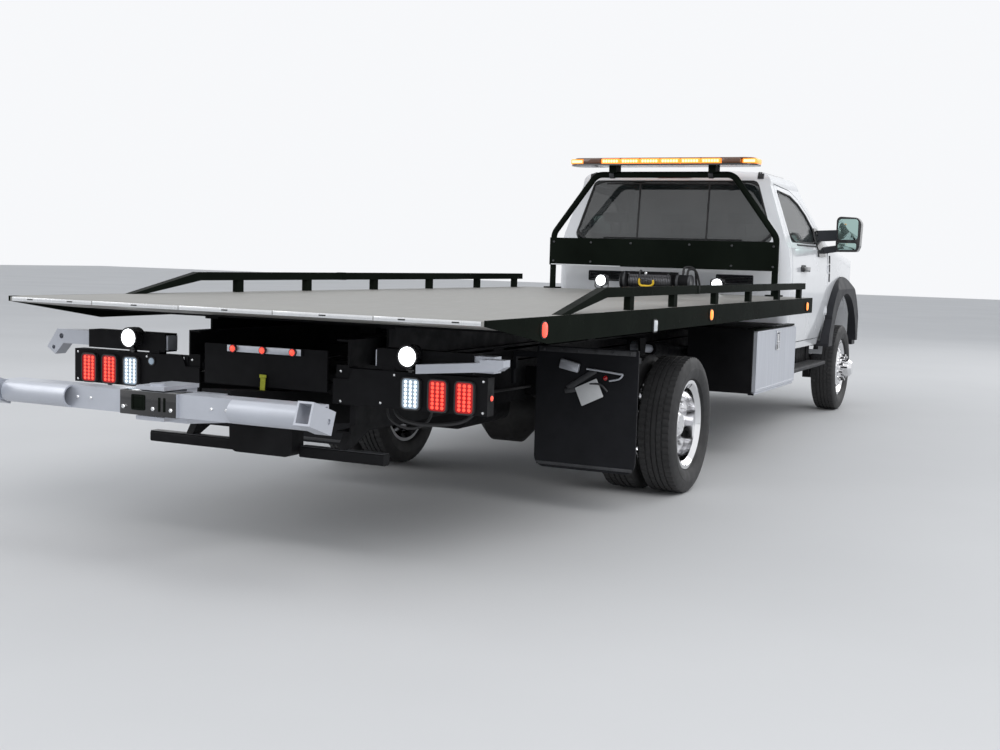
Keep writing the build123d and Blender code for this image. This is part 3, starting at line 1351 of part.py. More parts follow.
def main():
    hangers = [piece for hanger in spring_hangers() for piece in both(hanger)]
    os.makedirs("parts", exist_ok=True)
    shell = cab_shell()
    nose = nose_form(0) - nose_form(fender_wall)
    hood_skin = nose_form(0) - nose_form(hood_thick)
    left_door, left_glass, left_mirror = door(), door_glass(), mirror_left() + handle()
    left_box, left_box_door = toolbox(), toolbox_door()
    left_knuckle, left_wheel, left_tyre = knuckle(), front_wheel(), tyre(front_track_half, 0)
    left_pair = rear_wheels()
    left_duals = tyre(dual_inner_half, wheelbase).solids() + tyre(dual_inner_half + dual_spacing,
                                                                  wheelbase).solids()
    pieces = {
        "frame_rails": frame_rails() + hangers + [tail_strip()],
        "axle_front": axle_front(),
        "axle_rear": axle_rear(),
        "driveline": driveline(),
        "fuel_tank": fuel_tank(),
        "exhaust": exhaust(),
        "cab_body": cab_body(shell),
        "cab_roof": cab_roof(shell),
        "cab_glass": cab_glass(),
        "fenders": fenders(nose),
        "arch_flares": arch_flares(),
        "grille": grille(),
        "headlamps": headlamps(),
        "bumper": bumper(),
        "seat": seat(),
        "dashboard": dashboard(),
        "running_boards": running_boards(),
        "toolboxes": both(left_box),
        "mud_flaps": mud_flaps(),
        "light_panels": light_panels(),
        "lamps_red": lamps_red(),
        "lamps_white": lamps_white(),
        "underride_bar": underride_bar(),
        "wheel_arms": wheel_arms(),
        "hood": hood(hood_skin),
        "bed_deck": bed_deck(),
        "bed_sides": bed_sides(),
        "bed_beams": bed_beams(),
        "cab_guard": cab_guard(),
        "light_bar": light_bar(),
        "winch": winch(),
        "tow_hook": tow_hook(),
        "marker_lamps": marker_lamps(),
        "subframe": subframe(),
        "tilt_barrels": tilt_barrels(),
        "tilt_rods": tilt_rods(),
        "lift_boom": lift_boom(),
        "lift_slider": lift_slider(),
        "crossbar": crossbar(),
    }
    for side, turn in (("left", lambda s: s), ("right", other_side)):
        pieces["door_" + side] = turn(left_door)
        pieces["door_glass_" + side] = turn(left_glass)
        pieces["mirror_" + side] = turn(left_mirror)
        pieces["toolbox_door_" + side] = turn(left_box_door)
        pieces["knuckle_" + side] = turn(left_knuckle)
        pieces["wheel_front_" + side] = turn(left_wheel)
        pieces["tyre_front_" + side] = turn(left_tyre)
        pieces["wheels_rear_" + side] = turn(left_pair)
        pieces["tyres_rear_" + side] = [turn(solid) for solid in left_duals]
    for name, found in pieces.items():
        save(name, found)


main()
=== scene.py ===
import bpy
import bmesh
import math
from mathutils import Matrix, Vector


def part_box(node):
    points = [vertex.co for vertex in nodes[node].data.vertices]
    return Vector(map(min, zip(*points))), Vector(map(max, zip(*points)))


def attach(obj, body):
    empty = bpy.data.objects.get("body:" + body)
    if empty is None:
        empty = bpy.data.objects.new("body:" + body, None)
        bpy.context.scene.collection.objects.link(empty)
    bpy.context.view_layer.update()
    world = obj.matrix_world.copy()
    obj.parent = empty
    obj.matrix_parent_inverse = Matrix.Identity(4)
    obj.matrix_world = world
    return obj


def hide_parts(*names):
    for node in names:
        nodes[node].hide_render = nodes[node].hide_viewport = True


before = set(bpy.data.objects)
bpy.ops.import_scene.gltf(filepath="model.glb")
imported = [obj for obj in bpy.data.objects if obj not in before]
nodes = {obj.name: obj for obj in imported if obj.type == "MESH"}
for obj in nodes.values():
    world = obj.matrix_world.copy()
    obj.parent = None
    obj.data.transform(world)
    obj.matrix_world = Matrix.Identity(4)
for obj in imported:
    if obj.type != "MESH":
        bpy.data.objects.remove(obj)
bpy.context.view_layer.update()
scene = bpy.context.scene

# Places are measured from the front axle, in metres: x to the left, y to the back, z up from the road.
# The y of a place, less this, is its y in the frame.
bumper_front = -0.97
middle_y = bumper_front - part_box("bumper")[0].y
sides = (("left", 1), ("right", -1))
back, front, top = (0, 1, 0), (0, -1, 0), (0, 0, 1)


def at(x, y, z):
    """A point given from the front axle, in the frame."""
    return Vector((x, y - middle_y, z))


# Camera, where the photograph was taken from

camera_data = bpy.data.cameras.new("camera")
camera = bpy.data.objects.new("camera", camera_data)
scene.collection.objects.link(camera)
scene.camera = camera
camera_data.sensor_fit = "HORIZONTAL"
camera_data.sensor_width = 36.0
camera_data.lens = 46.49
camera_data.clip_end = 200.0
camera_place = at(-3.399, 12.501, 1.35)
forward = Vector((0.4285, -0.899, -0.0903))
level = forward.to_track_quat("-Z", "Y").to_matrix()
roll = Matrix.Rotation(math.radians(1.677), 3, "Z")
camera.matrix_world = Matrix.Translation(camera_place) @ (level @ roll).to_4x4()


# Materials

class Surface:
    """A procedural material: one shader, with colour, roughness and relief from noise."""

    def __init__(self, name, slot=None):
        self.slot = slot or name.replace(" ", "_")
        self.material = bpy.data.materials.new(name)
        self.material.use_nodes = True
        self.tree = self.material.node_tree
        self.shader = self.tree.nodes["Principled BSDF"]
        self.coords = self.node("TexCoord").outputs["Object"]

    def node(self, kind, **values):
        """A new node, with its inputs set."""
        return self.fill(self.tree.nodes.new("ShaderNode" + kind), **values)

    def fill(self, node, **values):
        """Set a node's inputs, each to a number, a colour or another node's socket."""
        for key, value in values.items():
            socket = node.inputs[key.replace("_", " ")]
            if isinstance(value, bpy.types.NodeSocket):
                self.tree.links.new(value, socket)
            else:
                socket.default_value = value
        return node

    def set(self, **values):
        self.fill(self.shader, **values)

    def noise(self, scale, detail=4.0, rough=0.5, stretch=(1, 1, 1)):
        mapping = self.node("Mapping", Scale=stretch, Vector=self.coords)
        return self.node("TexNoise", Scale=scale, Detail=detail, Roughness=rough,
                         Vector=mapping.outputs["Vector"]).outputs["Fac"]

    def ramp(self, value, low, high, start=0.3, end=0.7):
        """A value remapped to run between two numbers."""
        return self.node("MapRange", Value=value, From_Min=start, From_Max=end,
                         To_Min=low, To_Max=high).outputs["Result"]

    def mix(self, amount, first, second):
        """One colour or socket faded into another."""
        first, second = ((*c, 1) if isinstance(c, tuple) else c for c in (first, second))
        made = self.node("Mix")
        made.data_type = "RGBA"
        return self.fill(made, Factor=amount, A=first, B=second).outputs["Result"]

    def times(self, a, b):
        made = self.node("Math")
        made.operation = "MULTIPLY"
        self.tree.links.new(a, made.inputs[0])
        self.tree.links.new(b, made.inputs[1])
        return made.outputs[0]

    def bump(self, height, strength, distance):
        made = self.node("Bump", Strength=strength, Distance=distance, Height=height)
        self.set(Normal=made.outputs["Normal"])


def shade(colour, factor):
    return tuple(min(1.0, c * factor) for c in colour)


pale_dust = (0.3, 0.28, 0.25)


def finish(name, colour, rough, patches, grain=None, metal=0.0, coat=0.0, stretch=(1, 1, 1),
           rough_vary=0.08, specular=0.5, dust=None, slot=None):
    """A surface with patches (how far the colour varies, their scale), grain (depth, scale), and dust that
    thickens towards the road (how much, up to what height, its colour)."""
    s = Surface(name, slot)
    vary, scale = patches
    tint = s.mix(s.ramp(s.noise(scale, 5.0, 0.6, stretch), 0.0, 1.0), shade(colour, 1 - vary),
                 shade(colour, 1 + vary))
    if dust:
        amount, height, dust_colour = dust
        split = s.node("SeparateXYZ", Vector=s.coords)
        settled = s.ramp(split.outputs["Z"], amount, 0.0, 0.15, height)
        cover = s.times(settled, s.ramp(s.noise(9.0, 6.0, 0.7), 0.25, 1.0))
        tint = s.mix(cover, tint, dust_colour)
    sheen = s.noise(scale * 2.3, 4.0, 0.6, stretch)
    s.set(Base_Color=tint, Metallic=metal, Specular_IOR_Level=specular,
          Roughness=s.ramp(sheen, max(0.02, rough - rough_vary), min(1.0, rough + rough_vary)))
    if grain:
        s.bump(s.noise(grain[1], 3.0, 0.6, stretch), 0.5, grain[0])
    if coat:
        s.set(Coat_Weight=coat, Coat_Roughness=0.04)
    return s


def lens_finish(name, colour, rough=0.16, vary=0.15, slot=None):
    """A moulded lens with a clear coat and fine ribs."""
    return finish(name, colour, rough, (vary, 90.0), (0.0003, 300.0), coat=1.0, slot=slot)


def lamp_glow(name, colour, power, deep, slot):
    """A lit lens: bright in its middle patches, with the lens colour under it."""
    s = Surface(name, slot)
    spots = s.ramp(s.noise(60.0, 2.0, 0.5), 0.75, 1.0)
    s.set(Base_Color=s.mix(spots, deep, colour), Emission_Color=s.mix(spots, shade(colour, 0.8), colour),
          Emission_Strength=power, Roughness=0.25)
    return s


def deck_finish():
    """Rolled steel with mill scale, scuffs and rubbed lines that run along the bed."""
    s = Surface("deck steel")
    big = s.noise(0.9, 6.0, 0.62)
    fine = s.noise(60.0, 4.0, 0.6, (1, 0.12, 1))
    lines = s.noise(220.0, 3.0, 0.5, (1, 0.012, 1))
    tint = s.mix(s.ramp(big, 0.0, 1.0), (0.235, 0.23, 0.215), (0.33, 0.325, 0.305))
    tint = s.mix(s.ramp(fine, 0.0, 0.35, 0.45, 0.75), tint, (0.42, 0.415, 0.4))
    tint = s.mix(s.ramp(lines, 0.0, 0.5, 0.62, 0.8), tint, (0.15, 0.145, 0.135))
    s.bump(lines, 0.35, 0.0006)
    s.set(Base_Color=tint, Roughness=s.ramp(big, 0.42, 0.6), Metallic=0.35)
    return s


def glass_finish(name, colour, see_through):
    """Tinted glass with a faint film of dust."""
    s = Surface(name, "clear_glass")
    film = s.noise(2.0, 6.0, 0.65)
    s.set(Base_Color=s.mix(s.ramp(film, 0.0, 0.12, 0.4, 0.8), colour, (0.4, 0.42, 0.42)),
          Roughness=s.ramp(film, 0.02, 0.07), Alpha=see_through, IOR=1.5, Specular_IOR_Level=0.9,
          Coat_Weight=0.6, Coat_Roughness=0.02)
    return s


white = finish("white paint", (0.8, 0.81, 0.83), 0.24, (0.02, 1.5), (0.00008, 900.0), coat=0.7,
               rough_vary=0.05, dust=(0.22, 0.95, pale_dust))
black = finish("black paint", (0.008, 0.0105, 0.008), 0.24, (0.25, 2.0), (0.0001, 500.0), specular=0.003,
               dust=(0.04, 1.3, (0.05, 0.05, 0.045)))
chassis = finish("chassis paint", (0.0085, 0.0085, 0.0095), 0.5, (0.3, 6.0), (0.0003, 260.0), rough_vary=0.14,
                 specular=0.08, dust=(0.1, 1.0, (0.045, 0.043, 0.04)))
iron = finish("cast iron", (0.03, 0.03, 0.031), 0.6, (0.3, 14.0), (0.0012, 180.0), metal=0.4,
              dust=(0.3, 0.7, (0.12, 0.11, 0.1)))
silver = finish("silver steel", (0.53, 0.55, 0.6), 0.36, (0.05, 5.0), (0.00004, 420.0), metal=0.45,
                rough_vary=0.06)
polished = finish("polished alloy", (0.86, 0.86, 0.87), 0.07, (0.03, 12.0), (0.00006, 700.0), metal=1.0,
                  rough_vary=0.04)
brushed = finish("brushed alloy", (0.6, 0.62, 0.67), 0.38, (0.06, 9.0), (0.00005, 150.0), metal=0.6,
                 stretch=(1, 3.5, 0.18), rough_vary=0.1)
bright = finish("stainless steel", (0.78, 0.79, 0.8), 0.22, (0.04, 6.0), (0.0001, 300.0), metal=0.9,
                stretch=(6, 1, 1), slot="silver_steel")
worn_black = finish("rubbed black paint", (0.045, 0.046, 0.05), 0.4, (0.35, 14.0), (0.0003, 200.0),
                    slot="chassis_paint")
rubber = finish("tyre rubber", (0.02, 0.02, 0.021), 0.62, (0.25, 7.0), (0.0005, 240.0), rough_vary=0.1,
                dust=(0.18, 0.5, (0.1, 0.095, 0.09)), slot="tyre")
flap = finish("flap rubber", (0.0095, 0.01, 0.0125), 0.6, (0.2, 5.0), (0.0004, 120.0), rough_vary=0.1,
              specular=0.2, dust=(0.15, 0.7, (0.035, 0.035, 0.038)))
gasket = finish("window rubber", (0.012, 0.012, 0.013), 0.6, (0.2, 12.0), (0.0002, 300.0), slot="flap_rubber")
plastic = finish("moulded plastic", (0.024, 0.025, 0.029), 0.5, (0.12, 4.0), (0.0006, 520.0), rough_vary=0.06,
                 specular=0.18, dust=(0.15, 0.9, (0.12, 0.115, 0.11)), slot="dark_plastic")
shell_black = finish("mirror shell", (0.012, 0.012, 0.013), 0.24, (0.1, 6.0), (0.0001, 400.0), coat=0.5)
plate_white = finish("blank plate", (0.72, 0.73, 0.74), 0.4, (0.04, 9.0), (0.0001, 400.0), slot="white_paint")
mirror_face = finish("mirror glass", (0.36, 0.5, 0.47), 0.03, (0.02, 3.0), None, metal=1.0, rough_vary=0.01,
                     slot="clear_glass")
yellow = finish("hook paint", (0.8, 0.52, 0.02), 0.4, (0.15, 30.0), (0.0004, 200.0))
webbing = finish("yellow webbing", (0.5, 0.52, 0.05), 0.85, (0.2, 60.0), (0.0008, 500.0), stretch=(1, 1, 8),
                 slot="hook_paint")
rope = finish("wire rope", (0.17, 0.17, 0.18), 0.4, (0.3, 120.0), (0.0006, 500.0), metal=0.9,
              slot="silver_steel")
cloth = finish("seat cloth", (0.055, 0.057, 0.062), 0.9, (0.2, 40.0), (0.0008, 900.0))
cloth.set(Sheen_Weight=0.4, Sheen_Roughness=0.5)
smoked = finish("smoked lens", (0.1, 0.035, 0.012), 0.14, (0.2, 30.0), (0.0002, 300.0), coat=0.6,
                slot="amber_lens")
red_lens = lens_finish("red lens", (0.35, 0.006, 0.008))
white_lens = lens_finish("clear lens", (0.62, 0.65, 0.68), rough=0.14, vary=0.12, slot="white_lens")
amber_lens = lens_finish("amber lens", (0.75, 0.24, 0.02))
red_glow = lamp_glow("red light", (1.0, 0.07, 0.04), 1.5, (0.5, 0.01, 0.01), "red_lens")
red_lit = lamp_glow("red lens lit", (0.45, 0.006, 0.006), 0.35, (0.25, 0.003, 0.003), "red_lens")
white_glow = lamp_glow("white light", (0.95, 0.98, 1.0), 5.0, (0.8, 0.82, 0.85), "white_lens")
white_lit = lamp_glow("clear lens lit", (0.34, 0.42, 0.5), 0.25, (0.22, 0.28, 0.34), "white_lens")
led_white = lamp_glow("reversing light", (0.75, 0.88, 1.0), 1.6, (0.6, 0.7, 0.8), "white_lens")
amber_glow = lamp_glow("amber light", (1.0, 0.27, 0.035), 1.35, (0.8, 0.25, 0.02), "amber_lens")
hot_glow = lamp_glow("bright amber light", (1.0, 0.62, 0.28), 2.2, (1.0, 0.5, 0.12), "amber_lens")
deck = deck_finish()
dark_glass = glass_finish("dark glass", (0.012, 0.016, 0.017), 0.76)
side_glass = glass_finish("side glass", (0.045, 0.06, 0.06), 0.4)

# What each CAD node is finished in, with a star for both sides
for surface, names in (
        (white, "cab_body cab_roof fenders hood door_*"), (black, "bed_sides cab_guard"),
        (chassis, "frame_rails fuel_tank toolboxes light_panels underride_bar bed_beams winch subframe"),
        (chassis, "tilt_barrels lift_boom"), (iron, "axle_front axle_rear driveline exhaust knuckle_*"),
        (silver, "wheel_arms tilt_rods lift_slider crossbar"), (polished, "wheel_front_* wheels_rear_*"),
        (brushed, "toolbox_door_*"), (rubber, "tyre_front_* tyres_rear_*"),
        (plastic, "arch_flares grille bumper dashboard running_boards"),
        (shell_black, "lamps_white marker_lamps mirror_*"), (flap, "mud_flaps"), (yellow, "tow_hook"),
        (cloth, "seat"), (deck, "bed_deck"), (red_lens, "lamps_red"), (white_lens, "headlamps"),
        (amber_lens, "light_bar"), (dark_glass, "cab_glass"), (side_glass, "door_glass_*")):
    for name in names.split():
        for side, s in sides:
            held = nodes[name.replace("*", side)].data.materials
            held.clear()
            held.append(surface.material)


# Building pieces

def rounded(wide, tall, corner, steps=4):
    """Points round a rectangle with rounded corners."""
    corner = min(corner, wide / 2 - 0.0001, tall / 2 - 0.0001)
    x, y = wide / 2 - corner, tall / 2 - corner
    points = []
    for centre_x, centre_y, start in ((x, y, 0), (-x, y, 90), (-x, -y, 180), (x, -y, 270)):
        for k in range(steps + 1):
            a = math.radians(start + 90 * k / steps)
            points.append((centre_x + corner * math.cos(a), centre_y + corner * math.sin(a)))
    return points


def circle(count, radius, turn=0.0):
    """Points (sine, cosine) spaced round a circle."""
    angles = [math.tau * (k + turn) / count for k in range(count)]
    return [(radius * math.sin(a), radius * math.cos(a)) for a in angles]


def plane_at(centre, axis, up):
    """A function that places (across, up, along) on a plane that faces along an axis."""
    middle, axis = at(*centre), Vector(axis).normalized()
    side = Vector(up).cross(axis).normalized()
    up = axis.cross(side)
    return lambda x, y, along: middle + side * x + up * y + axis * along


def trace(thing, starts, direction, lift=0.0):
    """Where rays from some starts first meet a thing, lifted off its surface."""
    points = []
    for start in starts:
        found, place, normal, _ = thing.ray_cast(at(*start), Vector(direction))
        if found:
            if normal.dot(Vector(direction)) > 0:
                normal = -normal
            place = place + normal * lift
            points.append((place.x, place.y + middle_y, place.z))
    return points


# Pieces that aren't finished yet
pieces = []


class Piece:
    """Mesh code for one named piece, in points measured from the front axle."""

    def __init__(self, name, surface, body="chassis", stands_for=None):
        self.name, self.body, self.surface, self.stands_for = name, body, surface, stands_for
        self.mesh = bmesh.new()
        pieces.append(self)

    def skin(self, loops, ends="capped"):
        """Loops of points joined into a skin: capped at its ends, joined end to end, or left open."""
        rings = [[self.mesh.verts.new(p) for p in loop] for loop in loops]
        count = len(rings[0])
        pairs = list(zip(rings, rings[1:]))
        if ends == "joined":
            pairs.append((rings[-1], rings[0]))
        for first, second in pairs:
            for k in range(count):
                after = (k + 1) % count
                self.mesh.faces.new((first[k], first[after], second[after], second[k]))
        if ends == "capped":
            self.mesh.faces.new(rings[0][::-1])
            self.mesh.faces.new(rings[-1])
        return self

    def box(self, first, second, round_by=0.0):
        """A box between two opposite corners, with rounded edges."""
        low, high = (at(*map(pick, first, second)) for pick in (min, max))
        middle, size = (low + high) / 2, high - low
        made = bmesh.ops.create_cube(self.mesh, size=1.0)["verts"]
        for v in made:
            v.co = middle + Vector((v.co.x * size.x, v.co.y * size.y, v.co.z * size.z))
        if round_by:
            edges = list({e for v in made for e in v.link_edges})
            bmesh.ops.bevel(self.mesh, geom=edges, offset=min(round_by, min(size) * 0.45), segments=2,
                            profile=0.5, affect="EDGES")
        return self

    def turned(self, profile, origin, axis, count=48, ends="capped"):
        """Rings of (distance along, radius) round an axis."""
        turn_to = Vector(top).rotation_difference(Vector(axis)).to_matrix().to_4x4()
        matrix = Matrix.Translation(at(*origin)) @ turn_to
        return self.skin([[matrix @ Vector((across, other, along)) for other, across in circle(count, radius)]
                          for along, radius in profile], ends)

    def rod(self, start, end, radius, count=20, tip=None, chamfer=0.0):
        """A round bar, tapered if tip is given, with a small chamfer at each end."""
        axis = at(*end) - at(*start)
        tip = tip or radius
        profile = [(0.0, radius), (axis.length, tip)]
        if chamfer:
            profile = [(0.0, radius - chamfer), (chamfer, radius),
                       (axis.length - chamfer, tip), (axis.length, tip - chamfer)]
        return self.turned(profile, start, axis, count)

    def tube(self, points, radius, count=10, smooth=6):
        """A hose or rod through some points, on a smooth line."""
        path = [at(*p) for p in points]
        if smooth and len(path) > 2:
            ends = [path[0] * 2 - path[1]] + path + [path[-1] * 2 - path[-2]]
            line = []
            for i in range(1, len(ends) - 2):
                p0, p1, p2, p3 = ends[i - 1:i + 3]
                for k in range(smooth):
                    t = k / smooth
                    line.append(0.5 * (2 * p1 + (p2 - p0) * t + (2 * p0 - 5 * p1 + 4 * p2 - p3) * t * t
                                       + (3 * p1 - p0 - 3 * p2 + p3) * t ** 3))
            path = line + [path[-1]]
        side = Vector((0.31, 0.17, 0.93))
        rings = []
        for i, p in enumerate(path):
            along = (path[min(i + 1, len(path) - 1)] - path[max(i - 1, 0)]).normalized()
            side = (side - along * side.dot(along)).normalized()
            other = along.cross(side)
            rings.append([p + side * c + other * s for s, c in circle(count, radius)])
        return self.skin(rings)

    def slab(self, corners, along):
        """A flat outline of points, thickened by a vector."""
        return self.skin([[at(*c) for c in corners], [at(*c) + Vector(along) for c in corners]])

    def pad(self, centre, axis, wide, tall, deep, corner, soften=0.003, up=top):
        """A plate or lens with rounded corners and softened front edges."""
        place = plane_at(centre, axis, up)
        rings = ((0, 0), (0, deep - soften), (soften * 0.35, deep - soften * 0.35), (soften, deep))
        return self.skin([[place(x, y, along)
                           for x, y in rounded(wide - 2 * shrink, tall - 2 * shrink, corner)]
                          for shrink, along in rings])

    def frame(self, centre, axis, wide, tall, deep, corner, border, up=top):
        """A rounded frame, such as a bezel or a gasket."""
        place = plane_at(centre, axis, up)
        edge = 0.001
        rings = ((0, 0), (0, deep - edge), (edge, deep),
                 (border - edge, deep), (border, deep - edge), (border, 0))
        loops = []
        for shrink, along in rings:
            outline = rounded(wide - 2 * shrink, tall - 2 * shrink, max(0.0005, corner - shrink))
            loops.append([place(x, y, along) for x, y in outline])
        return self.skin(loops, "joined")

    def dome(self, centre, axis, radius, height, count=8):
        """A small round lens or rivet head."""
        profile = [(0, radius), (height * 0.6, radius * 0.82), (height, radius * 0.35)]
        return self.turned(profile, centre, axis, count)

    def nut(self, centre, axis, across, height):
        """A six-sided nut or bolt head with a domed top."""
        profile = [(0, across / 2), (height * 0.7, across / 2), (height, across * 0.36)]
        return self.turned(profile, centre, axis, 6)

    def ball(self, centre, radius):
        bmesh.ops.create_uvsphere(self.mesh, u_segments=14, v_segments=8, radius=radius,
                                  matrix=Matrix.Translation(at(*centre)))
        return self

    def done(self, smooth=35.0):
        """The finished object, on its body and with its finish."""
        pieces.remove(self)
        bmesh.ops.recalc_face_normals(self.mesh, faces=self.mesh.faces)
        data = bpy.data.meshes.new(self.name)
        self.mesh.to_mesh(data)
        self.mesh.free()
        thing = bpy.data.objects.new(self.name, data)
        scene.collection.objects.link(thing)
        data.materials.append(self.surface.material)
        for polygon in data.polygons:
            polygon.use_smooth = True
        data.set_sharp_from_angle(angle=math.radians(smooth))
        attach(thing, self.body)
        if self.stands_for:
            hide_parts(self.stands_for)
        return thing


def finish_pieces():
    """Make objects of the pieces that aren't finished yet."""
    for piece in pieces[:]:
        piece.done()


# Tyres with tread, in place of the plain ones

tyre_radius = 0.405
tread_steps = 180
# Across the tread: the two edges of each rib
tread_ribs = ((-0.0895, -0.0525), (-0.0455, -0.0185), (-0.0125, 0.0125), (0.0185, 0.0455), (0.0525, 0.0895))
# Half across and radius, from the bead to the shoulder
sidewall = ((0.0725, 0.2545), (0.073, 0.263), (0.0955, 0.272), (0.106, 0.292), (0.1105, 0.315),
            (0.1122, 0.328), (0.1122, 0.336), (0.1105, 0.338), (0.1085, 0.356), (0.1035, 0.371),
            (0.1005, 0.38), (0.0925, 0.3915))


def tread_radius(across, number):
    """Radius of the tread at a place across it and a step round it: blocks with cuts between them."""
    strip = abs(across)
    if strip < 0.016:
        shift, every, depth = 0, 6, 0.003
    elif strip < 0.045:
        shift, every, depth = 1, 3, 0.004
    else:
        shift, every, depth = 2, 3, 0.0065
    crown = tyre_radius - 0.0035 - 0.384 * across * across
    return crown if (number + shift) % every else crown - depth


def make_tyre(name, body, x, y, stands_for):
    groove, shoulder, bevel = tyre_radius - 0.0125, 0.3935, 0.0012
    rings = [[(-across, radius)] * tread_steps for across, radius in sidewall]
    for low, high in tread_ribs:
        rings.append([(low, groove if low > -0.08 else shoulder)] * tread_steps)
        for across in (low + bevel, high - bevel):
            rings.append([(across, tread_radius(across, n)) for n in range(tread_steps)])
        rings.append([(high, groove if high < 0.08 else shoulder)] * tread_steps)
    rings += [[(across, radius)] * tread_steps for across, radius in sidewall[::-1]]
    centre, round_points = at(x, y, tyre_radius), circle(tread_steps, 1.0)
    loops = [[centre + Vector((across, radius * sine, radius * cosine))
              for (across, radius), (sine, cosine) in zip(ring, round_points)] for ring in rings]
    Piece(name, rubber, body, stands_for).skin(loops, "joined").done(28.0)


dual_inner, dual_spacing, wheelbase = 0.8235, 0.254, 5.207
front_x = 0.9425
for side, s in sides:
    make_tyre("tyre_tread_front_" + side, "wheel_front_" + side, s * front_x, 0, "tyre_front_" + side)
    for place, x in (("inner", dual_inner), ("outer", dual_inner + dual_spacing)):
        make_tyre("tyre_tread_" + place + "_" + side, "wheels_rear_" + side, s * x, wheelbase,
                  "tyres_rear_" + side)


# Wheel nuts and hub rings

def wheel_nut(piece, s, face, y, z, washer, height):
    """A nut on a round washer, on the outer face of a wheel."""
    piece.rod((s * face, y, z), (s * (face + 0.01), y, z), washer, 16, washer - 0.001, 0.002)
    piece.rod((s * (face + 0.008), y, z), (s * (face + height), y, z), 0.0135, 6, 0.012, 0.003)


for side, s in sides:
    out = (s, 0, 0)
    nuts = Piece("wheel_nuts_front_" + side, polished, "wheel_front_" + side)
    for y, z in circle(10, 0.1125):
        wheel_nut(nuts, s, front_x + 0.093, y, tyre_radius + z, 0.019, 0.05)
    hub_ring = [(0, 0.079), (0.004, 0.081), (0.008, 0.079)]
    nuts.turned(hub_ring, (s * (front_x + 0.172), 0, tyre_radius), out, 40, "open")
    for y, z in circle(8, 0.064, 0.5):
        nuts.nut((s * (front_x + 0.181), y, tyre_radius + z), out, 0.013, 0.008)
    nuts = Piece("wheel_nuts_rear_" + side, polished, "wheels_rear_" + side)
    for y, z in circle(10, 0.118):
        face = dual_inner + dual_spacing / 2 + 0.012
        wheel_nut(nuts, s, face, wheelbase + y, tyre_radius + z, 0.018, 0.046)
    for y, z in circle(8, 0.047, 0.5):
        nuts.nut((s * 1.114, wheelbase + y, tyre_radius + z), out, 0.013, 0.006)


# Steel edge of the tail, and its key slots

tail_y = 8.088
strip = Piece("tail_edge_steel", bright, "bed")
seams = (-1.212, -0.73, -0.245, 0.245, 0.73, 1.212)
for low, high in zip(seams, seams[1:]):
    strip.box((low + 0.002, tail_y - 0.001, 1.0872), (high - 0.002, tail_y + 0.002, 1.1058), 0.0008)
slots = Piece("tail_key_slots", shell_black, "bed")
for x in (-1.1, -0.86, -0.49, 0.0, 0.49, 0.86, 1.1):
    slots.pad((x, tail_y + 0.0018, 1.097), back, 0.034, 0.006, 0.0012, 0.003, 0.0004)


# Lamps along the side boards

board_x = 1.234
for side, s in sides:
    out = (s, 0, 0)
    for name, y, z, wide, tall, look in (
            ("red", 7.55, 1.055, 0.05, 0.064, red_glow), ("clear", 6.115, 1.022, 0.046, 0.058, white_lens),
            ("amber_rear", 5.1, 1.052, 0.05, 0.06, amber_glow),
            ("amber_front", 2.52, 1.047, 0.05, 0.06, amber_glow)):
        corner = 0.006 if name == "clear" else wide / 2 - 0.004
        lens = Piece("side_lamp_" + name + "_" + side, look, "bed")
        lens.pad((s * (board_x + 0.001), y, z), out, wide, tall, 0.0105, corner, 0.004)
        rim = Piece("side_lamp_rim_" + name + "_" + side, rubber, "bed")
        rim.frame((s * board_x, y, z), out, wide + 0.012, tall + 0.012, 0.006, corner + 0.006, 0.007)
    sleeve = Piece("rail_sleeve_" + side, black, "bed")
    sleeve.box((s * 1.1715, 5.285, 1.1765), (s * 1.2205, 5.335, 1.2255), 0.002)


# Lamps on the rear panels

def round_lamp(name, side, body, place, wide, deep, border, lens_edge, rib_radius, rib_start):
    """A round lit lamp that faces back. Its ribbed shell is returned, to take a bracket."""
    x, y, z = place
    profile = [*zip((0, 0.003), lens_edge), (0.006, 0.034), (0.0075, 0.018)]
    Piece(name + "_light_" + side, white_glow, body).turned(profile, (x, y + deep - 0.0045, z), back, 32)
    shell = Piece(name + "_shell_" + side, shell_black, body)
    shell.frame(place, back, wide, wide, deep, wide / 2, border)
    for k in range(4):
        shell.turned([(0, rib_radius), (0.0022, rib_radius)], (x, y - rib_start + k * 0.005, z), back, 24)
    return shell


